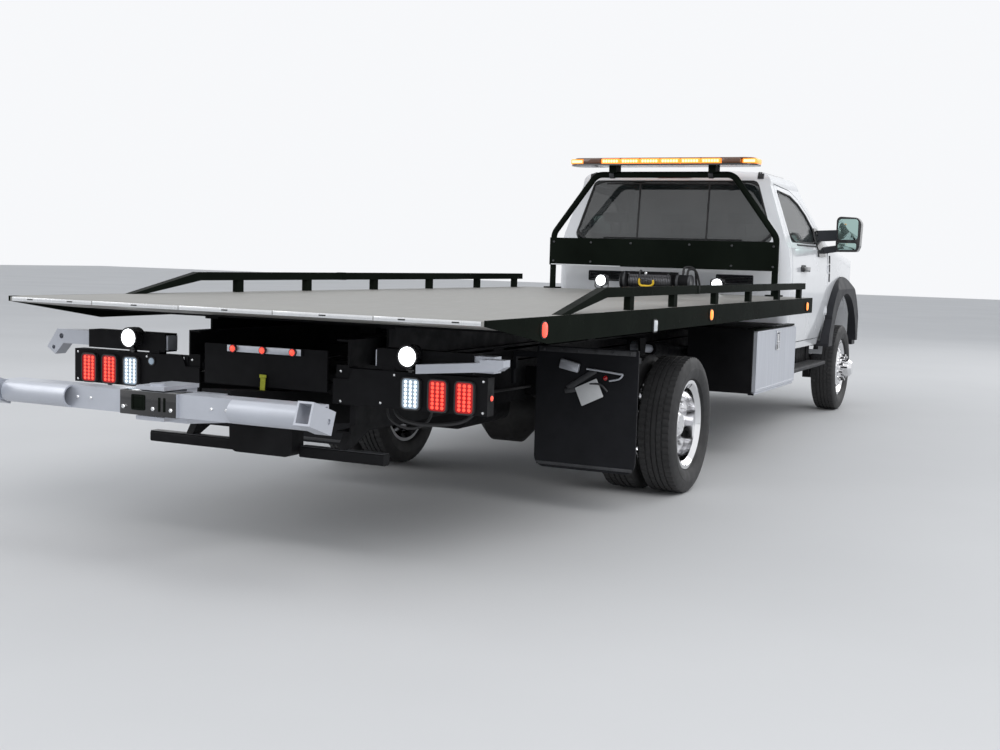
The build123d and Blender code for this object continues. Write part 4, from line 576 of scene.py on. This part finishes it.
panel_face, tail_lamp_z = 7.812, 0.773
for side, s in sides:
    out = (s, 0, 0)
    for name, x, lens_look, led_look in (
            ("outer", 1.005, red_lit, red_glow), ("inner", 0.88, red_lit, red_glow),
            ("clear", 0.752, white_lit, led_white)):
        x *= s
        lens = Piece("tail_lens_" + name + "_" + side, lens_look)
        lens.pad((x, panel_face - 0.002, tail_lamp_z), back, 0.084, 0.13, 0.0045, 0.018, 0.002)
        bezel = Piece("tail_bezel_" + name + "_" + side, rubber)
        bezel.frame((x, panel_face - 0.0115, tail_lamp_z), back, 0.094, 0.14, 0.0165, 0.022, 0.0065)
        leds = Piece("tail_leds_" + name + "_" + side, led_look)
        for column in (-0.023, 0, 0.023):
            for row in range(-3, 4):
                led_place = (x + column, panel_face + 0.0022, tail_lamp_z + row * 0.0165)
                leds.dome(led_place, back, 0.0078, 0.0026)

    # Round work lamp over the clear lamp, on a stem
    x = s * 0.745
    shell = round_lamp("work_lamp", side, "chassis", (x, 7.79, 0.93), 0.098, 0.048, 0.008, (0.041, 0.0405),
                       0.0475, 0.019)
    shell.box((x - 0.009, 7.8, 0.861), (x + 0.009, 7.806, 0.884), 0.001)
    shell.rod((x - 0.016, 7.806, 0.872), (x + 0.016, 7.806, 0.872), 0.005, 8)

    # Side marker on the panel's end
    Piece("panel_marker_" + side, red_glow).dome((s * 1.1055, 7.765, 0.775), out, 0.012, 0.007, 16)
    rim = Piece("panel_marker_rim_" + side, rubber)
    rim.frame((s * 1.105, 7.765, 0.775), out, 0.032, 0.032, 0.003, 0.016, 0.005)
    screws = Piece("panel_screws_" + side, bright)
    for x, z in ((0.4, 0.715), (0.4, 0.845), (0.6, 0.722), (0.665, 0.845), (1.085, 0.845), (1.085, 0.715)):
        screws.dome((s * x, 7.8003, z), back, 0.006, 0.003)

Piece("panel_round_lamp", white_lit).dome((0.636, 7.8015, 0.825), back, 0.017, 0.008, 20)
Piece("panel_round_rim", rubber).frame((0.636, 7.8, 0.825), back, 0.044, 0.044, 0.005, 0.022, 0.006)

# Three red lamps on a bright strip, and a yellow strap under them
Piece("centre_lamp_band", brushed).box((-0.198, 7.8078, 0.8975), (0.198, 7.8098, 0.9265), 0.0006)
centre_lamps = Piece("centre_lamps", red_glow)
centre_rims = Piece("centre_lamp_rims", rubber)
for x in (-0.16, 0.0, 0.16):
    centre_lamps.dome((x, 7.8215, 0.912), back, 0.0135, 0.006, 16)
    centre_rims.frame((x, 7.8095, 0.912), back, 0.036, 0.036, 0.01, 0.018, 0.005)
strap = Piece("safety_strap", webbing)
strap.skin([[at(x, y + d, z) for x, d in ((-0.013, 0), (0.013, 0), (0.013, 0.0022), (-0.013, 0.0022))]
            for y, z in ((7.8085, 0.8), (7.809, 0.776), (7.8115, 0.75), (7.812, 0.72),
                         (7.8095, 0.69))])
strap.box((-0.017, 7.808, 0.79), (0.017, 7.8135, 0.804), 0.001)


# Wheel-lift crossbar: black cover at its middle, port, bolts and swivel nut

Piece("crossbar_cover", shell_black, "crossbar").box((-0.139, 8.4572, 0.6942), (0.139, 8.566, 0.79), 0.003)
cover_face = 8.5655
port = Piece("crossbar_port", black, "crossbar")
port.frame((0.045, cover_face, 0.745), back, 0.066, 0.062, 0.005, 0.006, 0.007)
port.pad((0.045, cover_face, 0.745), back, 0.05, 0.046, 0.0012, 0.003, 0.0004)
for x in (-0.085, -0.06):
    port.box((x - 0.004, cover_face, 0.715), (x + 0.004, cover_face + 0.0045, 0.77), 0.001)
bolts = Piece("crossbar_bolts", bright, "crossbar")
for x in (-0.118, -0.03, 0.118):
    bolts.nut((x, cover_face, 0.724), back, 0.018, 0.008)
for x in (-0.3, -0.37, 0.3, 0.37):
    bolts.nut((x, 8.5508, 0.742), back, 0.014, 0.006)
Piece("swivel_nut", bright, "crossbar").nut((0, 8.505, 0.7895), top, 0.044, 0.016)


# Underride bar's bright lip

lip = Piece("underride_lip", worn_black)
for low, high in ((-0.628, -0.203), (0.148, 0.628)):
    lip.box((low, 7.7655, 0.5028), (high, 7.8145, 0.5045), 0.0006)


# Light bar: dark base, lit amber modules and smoked ones between them

bar_y, bar_low = 2.398, 2.128
base = Piece("light_bar_base", shell_black, "bed")
base.pad((0, bar_y, bar_low), top, 0.242, 1.576, 0.014, 0.095, 0.002, (1, 0, 0))
for x in (-0.42, 0.42):
    base.box((x - 0.03, bar_y - 0.05, bar_low - 0.001), (x + 0.03, bar_y + 0.05, bar_low + 0.012), 0.002)
roof_strip = Piece("light_bar_top", smoked, "bed", "light_bar")
roof_strip.pad((0, bar_y, bar_low + 0.054), top, 0.19, 1.53, 0.009, 0.08, 0.004, (1, 0, 0))
# Ends of the modules, from right to left
edges = (-0.785, -0.665, -0.505, -0.338, -0.17, 0.0, 0.17, 0.338, 0.505, 0.665, 0.785)
leds_each = 6
for number, (low, high) in enumerate(zip(edges, edges[1:])):
    middle = abs(low + high) / 2
    unlit = 0.505 < middle < 0.665
    depth = 0.116 if middle < 0.66 else 0.085
    core = Piece("light_bar_module_" + str(number), smoked if unlit else amber_glow, "bed")
    core.box((low + 0.004, bar_y - depth, bar_low + 0.013),
             (high - 0.004, bar_y + depth, bar_low + 0.055), 0.008)
    if unlit:
        continue
    hot = Piece("light_bar_leds_" + str(number), hot_glow, "bed")
    for k in range(leds_each):
        x = low + 0.016 + (high - low - 0.032) * (k + 0.5) / leds_each
        for way in (-1, 1):
            led_place = (x, bar_y + way * (depth - 0.0005), bar_low + 0.034)
            hot.pad(led_place, (0, way, 0), 0.017, 0.02, 0.0025, 0.004, 0.001)


# Guard: bolts, clamps under the light bar, and the pale conduit at its left

guard_bolts = Piece("guard_bolts", worn_black, "bed")
for side, s in sides:
    for x, z in ((0.935, 1.34), (0.935, 1.5), (0.6, 1.5), (0.6, 1.34), (0.25, 1.5)):
        guard_bolts.nut((s * x, 2.4248, z), back, 0.02, 0.008)
    guard_bolts.frame((s * 0.42, 2.398, 2.06), (1, 0, 0), 0.062, 0.062, 0.04, 0.03, 0.0055)
conduit = Piece("guard_conduit", plate_white, "bed")
conduit.tube([(0.955, 2.4285, 1.312), (0.7, 2.4285, 1.31), (0.4, 2.4285, 1.308), (0.335, 2.4285, 1.309)],
             0.0045, 8)


# Round work lamps behind the cab

for side, s in sides:
    x = s * 0.495
    shell = round_lamp("cab_lamp", side, "bed", (x, 2.392, 1.19), 0.1, 0.052, 0.007, (0.043, 0.042),
                       0.048, 0.02)
    shell.frame((x, 2.41, 1.178), back, 0.122, 0.11, 0.014, 0.02, 0.005)


# Winch: wound wire rope, motor and gearbox caps, bolts and hoses

winch_y, winch_z = 2.59, 1.2
coil = Piece("winch_rope", rope, "bed")
rope_turns, rope_radius, drum_radius = 26, 0.0068, 0.0585
for k in range(rope_turns):
    x = -0.174 + 0.348 * k / (rope_turns - 1)
    coil.skin([[at(x + across, winch_y + (drum_radius + out) * c, winch_z + (drum_radius + out) * s)
                for out, across in circle(6, rope_radius)] for s, c in circle(28, 1.0)], "joined")
coil.tube([(0.012, winch_y + 0.058, winch_z + 0.004), (0.011, winch_y + 0.08, winch_z + 0.006),
           (0.01, winch_y + 0.1, winch_z + 0.006)], 0.0065, 8, 4)
caps = Piece("winch_caps", worn_black, "bed")
for x, way, count, profile in (
        (-0.215, -1, 32, [(0, 0.0595), (0.01, 0.0605), (0.02, 0.0595)]),
        (-0.316, -1, 32, [(0, 0.059), (0.014, 0.06), (0.02, 0.054), (0.024, 0.03)]),
        (0.205, 1, 36, [(0, 0.0735), (0.012, 0.0745), (0.018, 0.0735)]),
        (0.2495, 1, 36, [(0, 0.072), (0.006, 0.064), (0.012, 0.032)])):
    caps.turned(profile, (x, winch_y, winch_z), (way, 0, 0), count)
for x, way, radius, across, height in ((0.25, 1, 0.062, 0.011, 0.006), (-0.3295, -1, 0.048, 0.009, 0.005)):
    for z, y in circle(8, radius):
        caps.nut((x, winch_y + y, winch_z + z), (way, 0, 0), across, height)
for x in (-0.165, 0.165):
    for z in (winch_z - 0.055, winch_z + 0.055):
        caps.nut((x, winch_y + 0.0815, z), back, 0.016, 0.007)
hoses = Piece("winch_hoses", rubber, "bed")
hoses.tube([(-0.29, 2.575, 1.258), (-0.3, 2.56, 1.3), (-0.335, 2.5, 1.29), (-0.352, 2.45, 1.2),
            (-0.352, 2.42, 1.13)], 0.009)
hoses.tube([(-0.255, 2.575, 1.258), (-0.262, 2.55, 1.315), (-0.318, 2.48, 1.305), (-0.325, 2.44, 1.2),
            (-0.326, 2.415, 1.13)], 0.009)
Piece("hook_pins", bright, "bed").nut((0.01, 2.7035, 1.262), back, 0.024, 0.007)


# Back wall of the cab: louvred vents, window rubber, third lamp

behind = 3.0
for side, s in sides:
    vent = Piece("cab_vent_" + side, plastic)
    vent.frame((s * 0.56, 2.154, 1.226), back, 0.312, 0.086, 0.0085, 0.01, 0.012)
    x = s * 0.56 - 0.144
    for k in range(5):
        z = 1.202 + 0.0125 * k
        vent.slab([(x, 2.14, z + 0.006), (x, 2.158, z - 0.003),
                   (x, 2.158, z - 0.0005), (x, 2.14, z + 0.0085)], (0.288, 0, 0))

corners = ((-0.862, 1.532), (0.862, 1.532), (0.7, 2.028), (-0.7, 2.028), (-0.862, 1.532))
starts = []
for (x0, z0), (x1, z1) in zip(corners, corners[1:]):
    for k in range(12):
        t = 0.06 + 0.88 * k / 11
        starts.append((x0 + (x1 - x0) * t, behind, z0 + (z1 - z0) * t))
line = trace(nodes["cab_glass"], starts, front, 0.001)
Piece("rear_window_rubber", gasket).tube(line + line[:1], 0.011, 8, 2)
pillars = Piece("rear_window_slider", gasket)
for x in (-0.3, 0.3):
    line = trace(nodes["cab_glass"], [(x, behind, z) for z in (1.545, 1.7, 1.85, 2.012)], front, 0.001)
    pillars.tube(line, 0.008, 6, 2)
for z in (1.55, 2.006):
    line = trace(nodes["cab_glass"], [(x, behind, z) for x in (-0.6, -0.3, 0.0, 0.3, 0.6)], front, 0.001)
    pillars.tube(line, 0.006, 6, 2)
starts = [(0, behind, 2.062)]
roof_back = (trace(nodes["cab_roof"], starts, front) + trace(nodes["cab_body"], starts, front))[0]
Piece("third_stop_lamp", red_lens).pad((0, roof_back[1] - 0.004, 2.066), back, 0.3, 0.026, 0.012, 0.01)


# Dark strips in the roof's side channels

for side, s in sides:
    line = trace(nodes["cab_roof"], [(s * 0.728, behind, z) for z in (2.052, 2.07, 2.085)], front, 0.0005)
    starts = [(s * 0.712, y, 3.0) for y in (2.06, 1.98, 1.85, 1.7, 1.5, 1.3, 1.12)]
    line += trace(nodes["cab_roof"], starts, (0, 0, -1), 0.0005)
    ditch = Piece("roof_channel_" + side, gasket)
    ditch.tube(line, 0.007, 6, 3)
    for x in (0.706, 0.712, 0.718, 0.724, 0.73, 0.736, 0.742):
        starts = [(s * x, behind, z) for z in (2.046, 2.058, 2.072, 2.086, 2.098)]
        band = trace(nodes["cab_roof"], starts, front)
        if len(band) > 2:
            ditch.tube(band, 0.0085, 6, 2)


# Doors: window rubbers, belt strips, handles and mirrors

for side, s in sides:
    out, inward = (s, 0, 0), (-s, 0, 0)
    body, beside = "door_" + side, s * 2.0
    front_end, rear_end = (corner.y + middle_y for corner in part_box("door_glass_" + side))
    outline = ((front_end + 0.004, 1.592), (1.089, 1.796), (1.27, 1.882), (1.49, 1.94),
               (rear_end - 0.006, 1.966), (rear_end - 0.006, 1.551), (front_end + 0.245, 1.551),
               (front_end + 0.004, 1.592))
    starts = [(beside, y0 + (y1 - y0) * k / 5, z0 + (z1 - z0) * k / 5)
              for (y0, z0), (y1, z1) in zip(outline, outline[1:]) for k in range(5)]
    line = trace(nodes["door_glass_" + side], starts, inward, 0.002)
    belt = trace(nodes[body], [(beside, y, 1.528) for y in (1.02, 1.2, 1.4, 1.6, 1.78)], inward, 0.001)
    seal = Piece("door_window_rubber_" + side, gasket, body)
    seal.tube(line + line[:1], 0.0085, 8, 2).tube(belt, 0.007, 8, 2)
    handle = Piece("door_handle_" + side, shell_black, body)
    handle.box((s * 1.006, 1.5075, 1.306), (s * 1.035, 1.7325, 1.348), 0.008)
    cup = Piece("door_handle_cup_" + side, plastic, body)
    skin_x = trace(nodes[body], [(beside, 1.62, 1.372)], inward)[0][0]
    cup.pad((skin_x - s * 0.001, 1.62, 1.327), out, 0.2, 0.072, 0.004, 0.03, 0.002)
    cup.dome((s * 1.0345, 1.715, 1.327), out, 0.008, 0.002, 12)

    face = Piece("mirror_face_" + side, mirror_face, body)
    face.pad((s * 1.176, 0.7072, 1.693), back, 0.176, 0.186, 0.0028, 0.03, 0.0015)
    face.pad((s * 1.172, 0.7072, 1.541), back, 0.166, 0.062, 0.0028, 0.02, 0.0015)
    edge = Piece("mirror_edge_" + side, shell_black, body)
    edge.frame((s * 1.176, 0.707, 1.693), back, 0.196, 0.206, 0.0055, 0.038, 0.009)
    edge.frame((s * 1.172, 0.707, 1.541), back, 0.186, 0.08, 0.0055, 0.026, 0.008)
    signal = Piece("mirror_signal_" + side, amber_lens, body)
    signal.pad((s * 1.215, 0.6125, 1.64), front, 0.1, 0.022, 0.003, 0.01, 0.0015)


# Vent at the back of each fender, headlamps, fog lamps and front hooks

headlamp_x, headlamp_y, signal_x = 0.745, -0.8115, 0.865
for side, s in sides:
    edge_line = ((0.552, 1.53), (0.556, 1.46), (0.56, 1.38), (0.564, 1.3), (0.566, 1.215))
    starts = [(s * 2.0, y, z) for y, z in edge_line]
    line = trace(nodes["fenders"], starts, (-s, 0, 0), 0.001)
    vent = Piece("fender_vent_" + side, plastic)
    for (x, y, z), (low_x, low_y, low_z) in zip(line, line[1:]):
        x, z, low_x, low_z = x + s * 0.004, z - 0.004, low_x + s * 0.004, low_z + 0.004
        vent.slab([(x, y - 0.02, z), (x, y + 0.014, z),
                   (low_x, low_y + 0.014, low_z), (low_x, low_y - 0.02, low_z)], (-s * 0.008, 0, 0))

    lamp = Piece("headlamp_inner_" + side, polished)
    eyes = Piece("headlamp_eyes_" + side, white_lens)
    eye_profile = [(0, 0.049), (0.004, 0.045), (0.008, 0.034), (0.01, 0.016)]
    for z in (1.055, 1.225):
        lamp.frame((s * headlamp_x, headlamp_y, z), front, 0.118, 0.118, 0.006, 0.059, 0.01)
        eyes.turned(eye_profile, (s * headlamp_x, headlamp_y, z), front, 28)
    lamp.frame((s * signal_x, headlamp_y, 1.15), front, 0.05, 0.3, 0.004, 0.018, 0.006)
    signal = Piece("headlamp_signal_" + side, amber_lens)
    signal.pad((s * signal_x, headlamp_y, 1.15), front, 0.036, 0.286, 0.003, 0.013, 0.0015)
    edge = Piece("headlamp_edge_" + side, shell_black)
    edge.frame((s * 0.763, -0.8105, 1.153), front, 0.302, 0.345, 0.006, 0.03, 0.01)

    fog_x, fog_z = s * 0.72, 0.7
    fog_y = trace(nodes["bumper"], [(fog_x, -3.0, fog_z)], back)[0][1]
    fog = Piece("fog_lamp_" + side, white_lens)
    fog.turned([(0, 0.036), (0.004, 0.034), (0.008, 0.018)], (fog_x, fog_y - 0.004, fog_z), front, 24)
    rim = Piece("fog_rim_" + side, shell_black)
    rim.frame((fog_x, fog_y + 0.004, fog_z), front, 0.1, 0.088, 0.012, 0.03, 0.01)
    hook = Piece("front_hook_" + side, worn_black)
    hook.tube([(s * 0.44, y, z) for y, z in (
        (-0.93, 0.606), (-0.952, 0.604), (-0.957, 0.64), (-0.952, 0.672), (-0.93, 0.672))], 0.011, 8, 4)


# Nose: bars and web of the grille, blank plate

bars = Piece("grille_bars", brushed)
for z in (1.036, 1.1, 1.164, 1.228):
    bars.pad((0, -0.8075, z), front, 1.06, 0.02, 0.003, 0.008, 0.0015)
web = Piece("grille_web", plastic)
for k in range(26):
    x = -0.5 + 0.04 * k
    web.box((x - 0.0035, -0.79, 0.975), (x + 0.0035, -0.768, 1.29))
Piece("front_plate_blank", plate_white).pad((0, -0.969, 0.74), front, 0.3, 0.15, 0.0025, 0.012, 0.001)

wipers = Piece("wipers", gasket)
for base_x, tip_x in ((0.1, 0.62), (-0.66, -0.12)):
    starts = [(base_x + (tip_x - base_x) * k / 6, -0.4, 1.632 + 0.012 * k) for k in range(7)]
    line = trace(nodes["cab_glass"], starts, back, 0.012)
    x, y, z = line[len(line) // 2]
    wipers.tube(line, 0.0065, 6, 2)
    wipers.tube([(base_x - 0.06, y - 0.095, 1.592), (base_x + 0.08, y - 0.03, 1.625),
                 (x, y - 0.012, z + 0.004)], 0.006, 6, 4)


# Toolboxes: gutter, seal, latch and edge bead

box_y = 3.224
for side, s in sides:
    out, door = (s, 0, 0), "toolbox_door_" + side
    gutter = Piece("toolbox_gutter_" + side, black)
    gutter.box((s * 1.12, 2.64, 0.9122), (s * 1.176, 3.808, 0.917), 0.001)
    gutter.box((s * 1.17, 2.64, 0.9035), (s * 1.176, 3.808, 0.917), 0.001)
    seal = Piece("toolbox_seal_" + side, rubber)
    seal.frame((s * 1.1598, box_y, 0.691), out, 1.158, 0.434, 0.0052, 0.01, 0.01)
    bead = Piece("toolbox_bead_" + side, brushed, door)
    bead.frame((s * 1.1898, box_y, 0.694), out, 1.15, 0.404, 0.0018, 0.012, 0.007)
    well = Piece("toolbox_latch_well_" + side, gasket, door)
    well.pad((s * 1.1826, box_y, 0.832), out, 0.075, 0.075, 0.0022, 0.002, 0.0005)
    well.pad((s * 1.1905, box_y, 0.771), out, 0.078, 0.044, 0.0015, 0.006, 0.0005)
    latch = Piece("toolbox_latch_" + side, bright, door)
    latch.frame((s * 1.1945, box_y, 0.814), out, 0.096, 0.138, 0.003, 0.014, 0.009)
    latch.box((s * 1.19, 3.2155, 0.754), (s * 1.1995, 3.2325, 0.862), 0.003)
    latch.box((s * 1.191, 3.198, 0.8), (s * 1.2005, 3.25, 0.812), 0.003)
    latch.dome((s * 1.1993, box_y, 0.852), out, 0.006, 0.002, 12)
    for y in (3.186, 3.262):
        for z in (0.752, 0.876):
            latch.dome((s * 1.197, y, z), out, 0.0035, 0.0015)
    hinge = Piece("toolbox_hinge_" + side, bright, door)
    for k in range(12):
        hinge.dome((s * 1.1897, 2.7 + k * 0.095, 0.496), out, 0.005, 0.002)


# Steps: ribbed tread, then black sheets between them and the cab's floor, which paint the shade under the cab

for side, s in sides:
    tread = Piece("step_tread_" + side, rubber)
    for k in range(6):
        x = s * (0.885 + 0.023 * k)
        tread.box((x - 0.006, 0.7, 0.5045), (x + 0.006, 2.1, 0.5085), 0.0015)
# A dark plate with ribs behind each step: painted shade in place of the shadow under the cab
for side, s in sides:
    shade_sheet = Piece("step_shade_sheet_" + side, chassis)
    shade_sheet.box((s * 0.864, 0.655, 0.488), (s * 0.872, 2.135, 0.6625), 0.002)
    for y in (0.8, 1.2, 1.6, 2.00):
        shade_sheet.box((s * 0.871, y - 0.02, 0.503), (s * 0.88, y + 0.02, 0.655), 0.002)


# Mirror arms: moulded covers from the door to the mirror

for side, s in sides:
    covers = Piece("mirror_arm_covers_" + side, plastic, "door_" + side)
    for root_low, root_high, head_low, head_high in (
            (1.575, 1.672, 1.592, 1.688), (1.458, 1.516, 1.494, 1.55)):
        covers.slab([(s * 0.915, 0.891, root_low), (s * 1.063, 0.648, head_low),
                     (s * 1.063, 0.648, head_high), (s * 0.915, 0.891, root_high)], (s * 0.04, 0.024, 0))


# Winch hook: dark shank, thick yellow bowl

hook_y, bowl_radius = 2.695, 0.0088
bowl = Piece("tow_hook_bowl", yellow, "bed", "tow_hook")
bowl.tube([(x, hook_y, z) for x, z in (
    (0.066, 1.222), (0.069, 1.19), (0.056, 1.166), (0.02, 1.1615), (-0.024, 1.1625), (-0.047, 1.178),
    (-0.048, 1.203))], bowl_radius, 12)
bowl.ball((-0.048, hook_y, 1.203), bowl_radius)
shank = Piece("tow_hook_shank", worn_black, "bed", "tow_hook")
shank.tube([(0.065, y, z) for y, z in (
    (hook_y, 1.214), (hook_y, 1.262), (2.69, 1.279), (2.672, 1.283), (2.656, 1.276), (2.6535, 1.25))],
    0.0065, 10, 4)
shank.tube([(0.052, hook_y, 1.222), (0.078, hook_y, 1.222)], bowl_radius)
shank.tube([(0.058, hook_y, 1.214), (0.004, hook_y, 1.212), (-0.044, hook_y, 1.199)], 0.003, 6, 3)


# Mud flaps: clamp bars, and the small bracket with a blank plate on the right one

for side, s in sides:
    clamp = Piece("flap_clamp_" + side, worn_black)
    clamp.box((s * 0.6, 6.1395, 0.858), (s * 1.15, 6.145, 0.884), 0.001)
    for k in range(6):
        clamp.nut((s * (0.63 + 0.098 * k), 6.1445, 0.871), back, 0.017, 0.007)
    clamp.box((s * 0.6, 6.1395, 0.245), (s * 1.15, 6.143, 0.262), 0.001)
blank = Piece("flap_blank_plate", plate_white)
blank.pad((-0.9, 6.156, 0.655), (0, 1, 0.1), 0.132, 0.104, 0.0022, 0.005, 0.0008, (0.44, 0, 0.9))
bracket = Piece("flap_bracket", brushed)
bracket.pad((-0.785, 6.15, 0.79), back, 0.11, 0.05, 0.02, 0.006, up=(-0.2, 0, 0.98))
bracket.tube([(-0.88, 6.15, 0.778), (-0.98, 6.152, 0.77), (-1.085, 6.152, 0.76)], 0.0055, 6, 2)
bracket.tube([(-1.085, 6.152, 0.76), (-1.065, 6.152, 0.735), (-1.01, 6.152, 0.722)], 0.005, 6, 2)
dark_bracket = Piece("flap_bracket_dark", worn_black)
dark_bracket.pad((-0.85, 6.142, 0.72), back, 0.19, 0.03, 0.008, 0.006, up=(0.55, 0, 0.83))
dark_bracket.pad((-0.8, 6.142, 0.66), back, 0.09, 0.026, 0.008, 0.006, up=(0.2, 0, 0.98))
dark_bracket.tube([(-0.9, 6.15, 0.7), (-0.96, 6.153, 0.7), (-1.00, 6.15, 0.665)], 0.006, 6, 3)
Piece("flap_red_lamp", red_lens).dome((-0.985, 6.148, 0.735), back, 0.014, 0.008, 16)


# Hoses and cables under the bed

rig = Piece("frame_hoses", rubber)
hose_lines = (
    (0.0085, 8, ((0.6, 7.7, 0.76), (0.64, 7.73, 0.672), (0.72, 7.735, 0.64), (0.84, 7.725, 0.64),
                 (0.96, 7.7, 0.668), (1.04, 7.7, 0.76))),
    (0.006, 8, ((0.56, 7.69, 0.78), (0.6, 7.722, 0.65), (0.7, 7.716, 0.612), (0.78, 7.7, 0.652),
                (0.8, 7.7, 0.74))),
    (0.008, 6, ((0.462, 2.9, 0.62), (0.462, 3.9, 0.612), (0.462, 4.6, 0.64), (0.464, 5.8, 0.64),
                (0.466, 6.9, 0.66))))
for side, s in sides:
    for radius, count, points in hose_lines:
        rig.tube([(s * x, y, z) for x, y, z in points], radius, count, 5)


# Seats: soft cushions, backs and headrests blown up as cloth, on a plain base

def pad_shell(name, corners, low, high, inset=0.012):
    """A closed pad: a side outline of (y, z), drawn across from low to high."""
    middle = Vector((sum(c[0] for c in corners), sum(c[1] for c in corners))) / len(corners)
    loops = []
    for x, shrink in ((low + inset, 0.03), (low + inset * 2.2, 0.012),
                      (high - inset * 2.2, 0.012), (high - inset, 0.03)):
        outline = []
        for corner in corners:
            away = Vector(corner) - middle
            outline.append(at(x, *(middle + away * (1 - shrink / away.length))))
        loops.append(outline)
    return Piece(name, cloth, stands_for="seat").skin(loops).done(60.0)


def flatten(thing):
    """Apply what the modifiers make of a mesh."""
    shown = thing.evaluated_get(bpy.context.evaluated_depsgraph_get())
    made = bpy.data.meshes.new_from_object(shown)
    thing.modifiers.clear()
    thing.data = made


def puff(thing, limit, voxel):
    """Blow a pad up with cloth under a little pressure, and hold each point within a limit."""
    bpy.context.view_layer.objects.active = thing
    remesh = thing.modifiers.new("remesh", "REMESH")
    remesh.mode = "VOXEL"
    remesh.voxel_size = voxel
    flatten(thing)
    start = [v.co.copy() for v in thing.data.vertices]
    soft = thing.modifiers.new("cloth", "CLOTH")
    soft.settings.use_pressure = True
    soft.settings.uniform_pressure_force = 4.0
    soft.settings.effector_weights.gravity = 0.0
    soft.settings.quality = 4
    scene.frame_start = 1
    scene.frame_end = 20
    for number in range(scene.frame_start, scene.frame_end + 1):
        scene.frame_set(number)
    flatten(thing)
    for vertex, old in zip(thing.data.vertices, start):
        moved = vertex.co - old
        if moved.length > limit:
            vertex.co = old + moved * (limit / moved.length)
    scene.frame_set(1)
    thing.modifiers.new("smooth", "SUBSURF").levels = 1
    flatten(thing)
    for polygon in thing.data.polygons:
        polygon.use_smooth = True


# Ends of each seat, across
places = ((-0.8, -0.29), (-0.28, 0.28), (0.29, 0.8))
# Side outlines of (y, z), how far each pad is set in from the seat's ends and rounded, its limit and its grid
pads = (
    ("seat_cushion_", ((1.285, 1.015), (1.845, 1.015), (1.845, 1.1), (1.305, 1.132)), 0, 0.012, 0.022, 0.018),
    ("seat_back_", ((1.822, 1.135), (1.915, 1.13), (2.01, 1.615), (1.955, 1.622)), 0, 0.012, 0.022, 0.018),
    ("headrest_", ((1.966, 1.672), (2.008, 1.67), (2.024, 1.776), (1.98, 1.784)), 0.135, 0.008, 0.012, 0.012))
soft_parts = []
finish_pieces()
for number, (low, high) in enumerate(places):
    for name, corners, narrow, inset, limit, voxel in pads:
        soft_parts.append(pad_shell(name + str(number), corners, low + narrow, high - narrow, inset))
        puff(soft_parts[-1], limit, voxel)
seams = Piece("seat_seams", gasket)
stands = Piece("seat_base", plastic, stands_for="seat")
stands.box((-0.795, 1.335, 0.72), (0.795, 1.86, 1.004), 0.02)
for (low, high), cushion in zip(places, soft_parts[::len(pads)]):
    middle = (low + high) / 2
    for x in (middle - 0.045, middle + 0.045):
        stands.rod((x, 1.985, 1.6), (x, 1.994, 1.69), 0.006, 10)
    for x in (low + 0.115, high - 0.115):
        line = trace(cushion, [(x, y, 1.5) for y in (1.34, 1.45, 1.56, 1.67, 1.78)], (0, 0, -1))
        seams.tube([(x, y, z + 0.0005) for x, y, z in line], 0.0022, 6, 3)
finish_pieces()


# Floor, light and backdrop

floor_data = bpy.data.meshes.new("floor")
floor_data.from_pydata([(-60, -60, 0), (60, -60, 0), (60, 60, 0), (-60, 60, 0)], [], [(0, 1, 2, 3)])
floor = bpy.data.objects.new("floor", floor_data)
scene.collection.objects.link(floor)
floor_look = Surface("floor")
shades = ((0.62, 0.62, 0.62), (0.66, 0.66, 0.66))
grey = floor_look.mix(floor_look.ramp(floor_look.noise(0.4), 0.0, 1.0), *shades)
floor_look.set(Base_Color=grey, Roughness=0.8)
floor_data.materials.append(floor_look.material)

# A pale backdrop for the camera, mirrors and glass, and a slightly bluer light for the rest
world = bpy.data.worlds.new("world")
scene.world = world
world.use_nodes = True
sky = world.node_tree
ambient = sky.nodes["Background"]
ambient.inputs["Color"].default_value = (0.86, 0.9, 0.96, 1)
ambient.inputs["Strength"].default_value = 0.72
backdrop = sky.nodes.new("ShaderNodeBackground")
backdrop.inputs["Color"].default_value = (0.93, 0.94, 0.96, 1)
rays = sky.nodes.new("ShaderNodeLightPath").outputs
seen = rays["Is Camera Ray"]
for kind in ("Is Glossy Ray", "Is Transmission Ray"):
    either = sky.nodes.new("ShaderNodeMath")
    either.operation = "MAXIMUM"
    sky.links.new(seen, either.inputs[0])
    sky.links.new(rays[kind], either.inputs[1])
    seen = either.outputs[0]
both_skies = sky.nodes.new("ShaderNodeMixShader")
for number, source in enumerate((seen, ambient.outputs[0], backdrop.outputs[0])):
    sky.links.new(source, both_skies.inputs[number])
sky.links.new(both_skies.outputs[0], sky.nodes["World Output"].inputs["Surface"])

# Name, place, aim, size, power
for name, place, aim, size, power in (
        ("key", (-9, 9, 11), (0, 0, 0.8), 9, 900),
        ("fill", (10, 8, 7), (0, 1, 0.6), 8, 350),
        ("front", (-6, -12, 8), (0, -2, 1), 8, 350)):
    data = bpy.data.lights.new(name, "AREA")
    data.energy = power
    data.size = size
    lamp = bpy.data.objects.new(name, data)
    scene.collection.objects.link(lamp)
    lamp.location = place
    lamp.rotation_euler = (Vector(aim) - Vector(place)).to_track_quat("-Z", "Y").to_euler()

scene.view_settings.view_transform = "Standard"
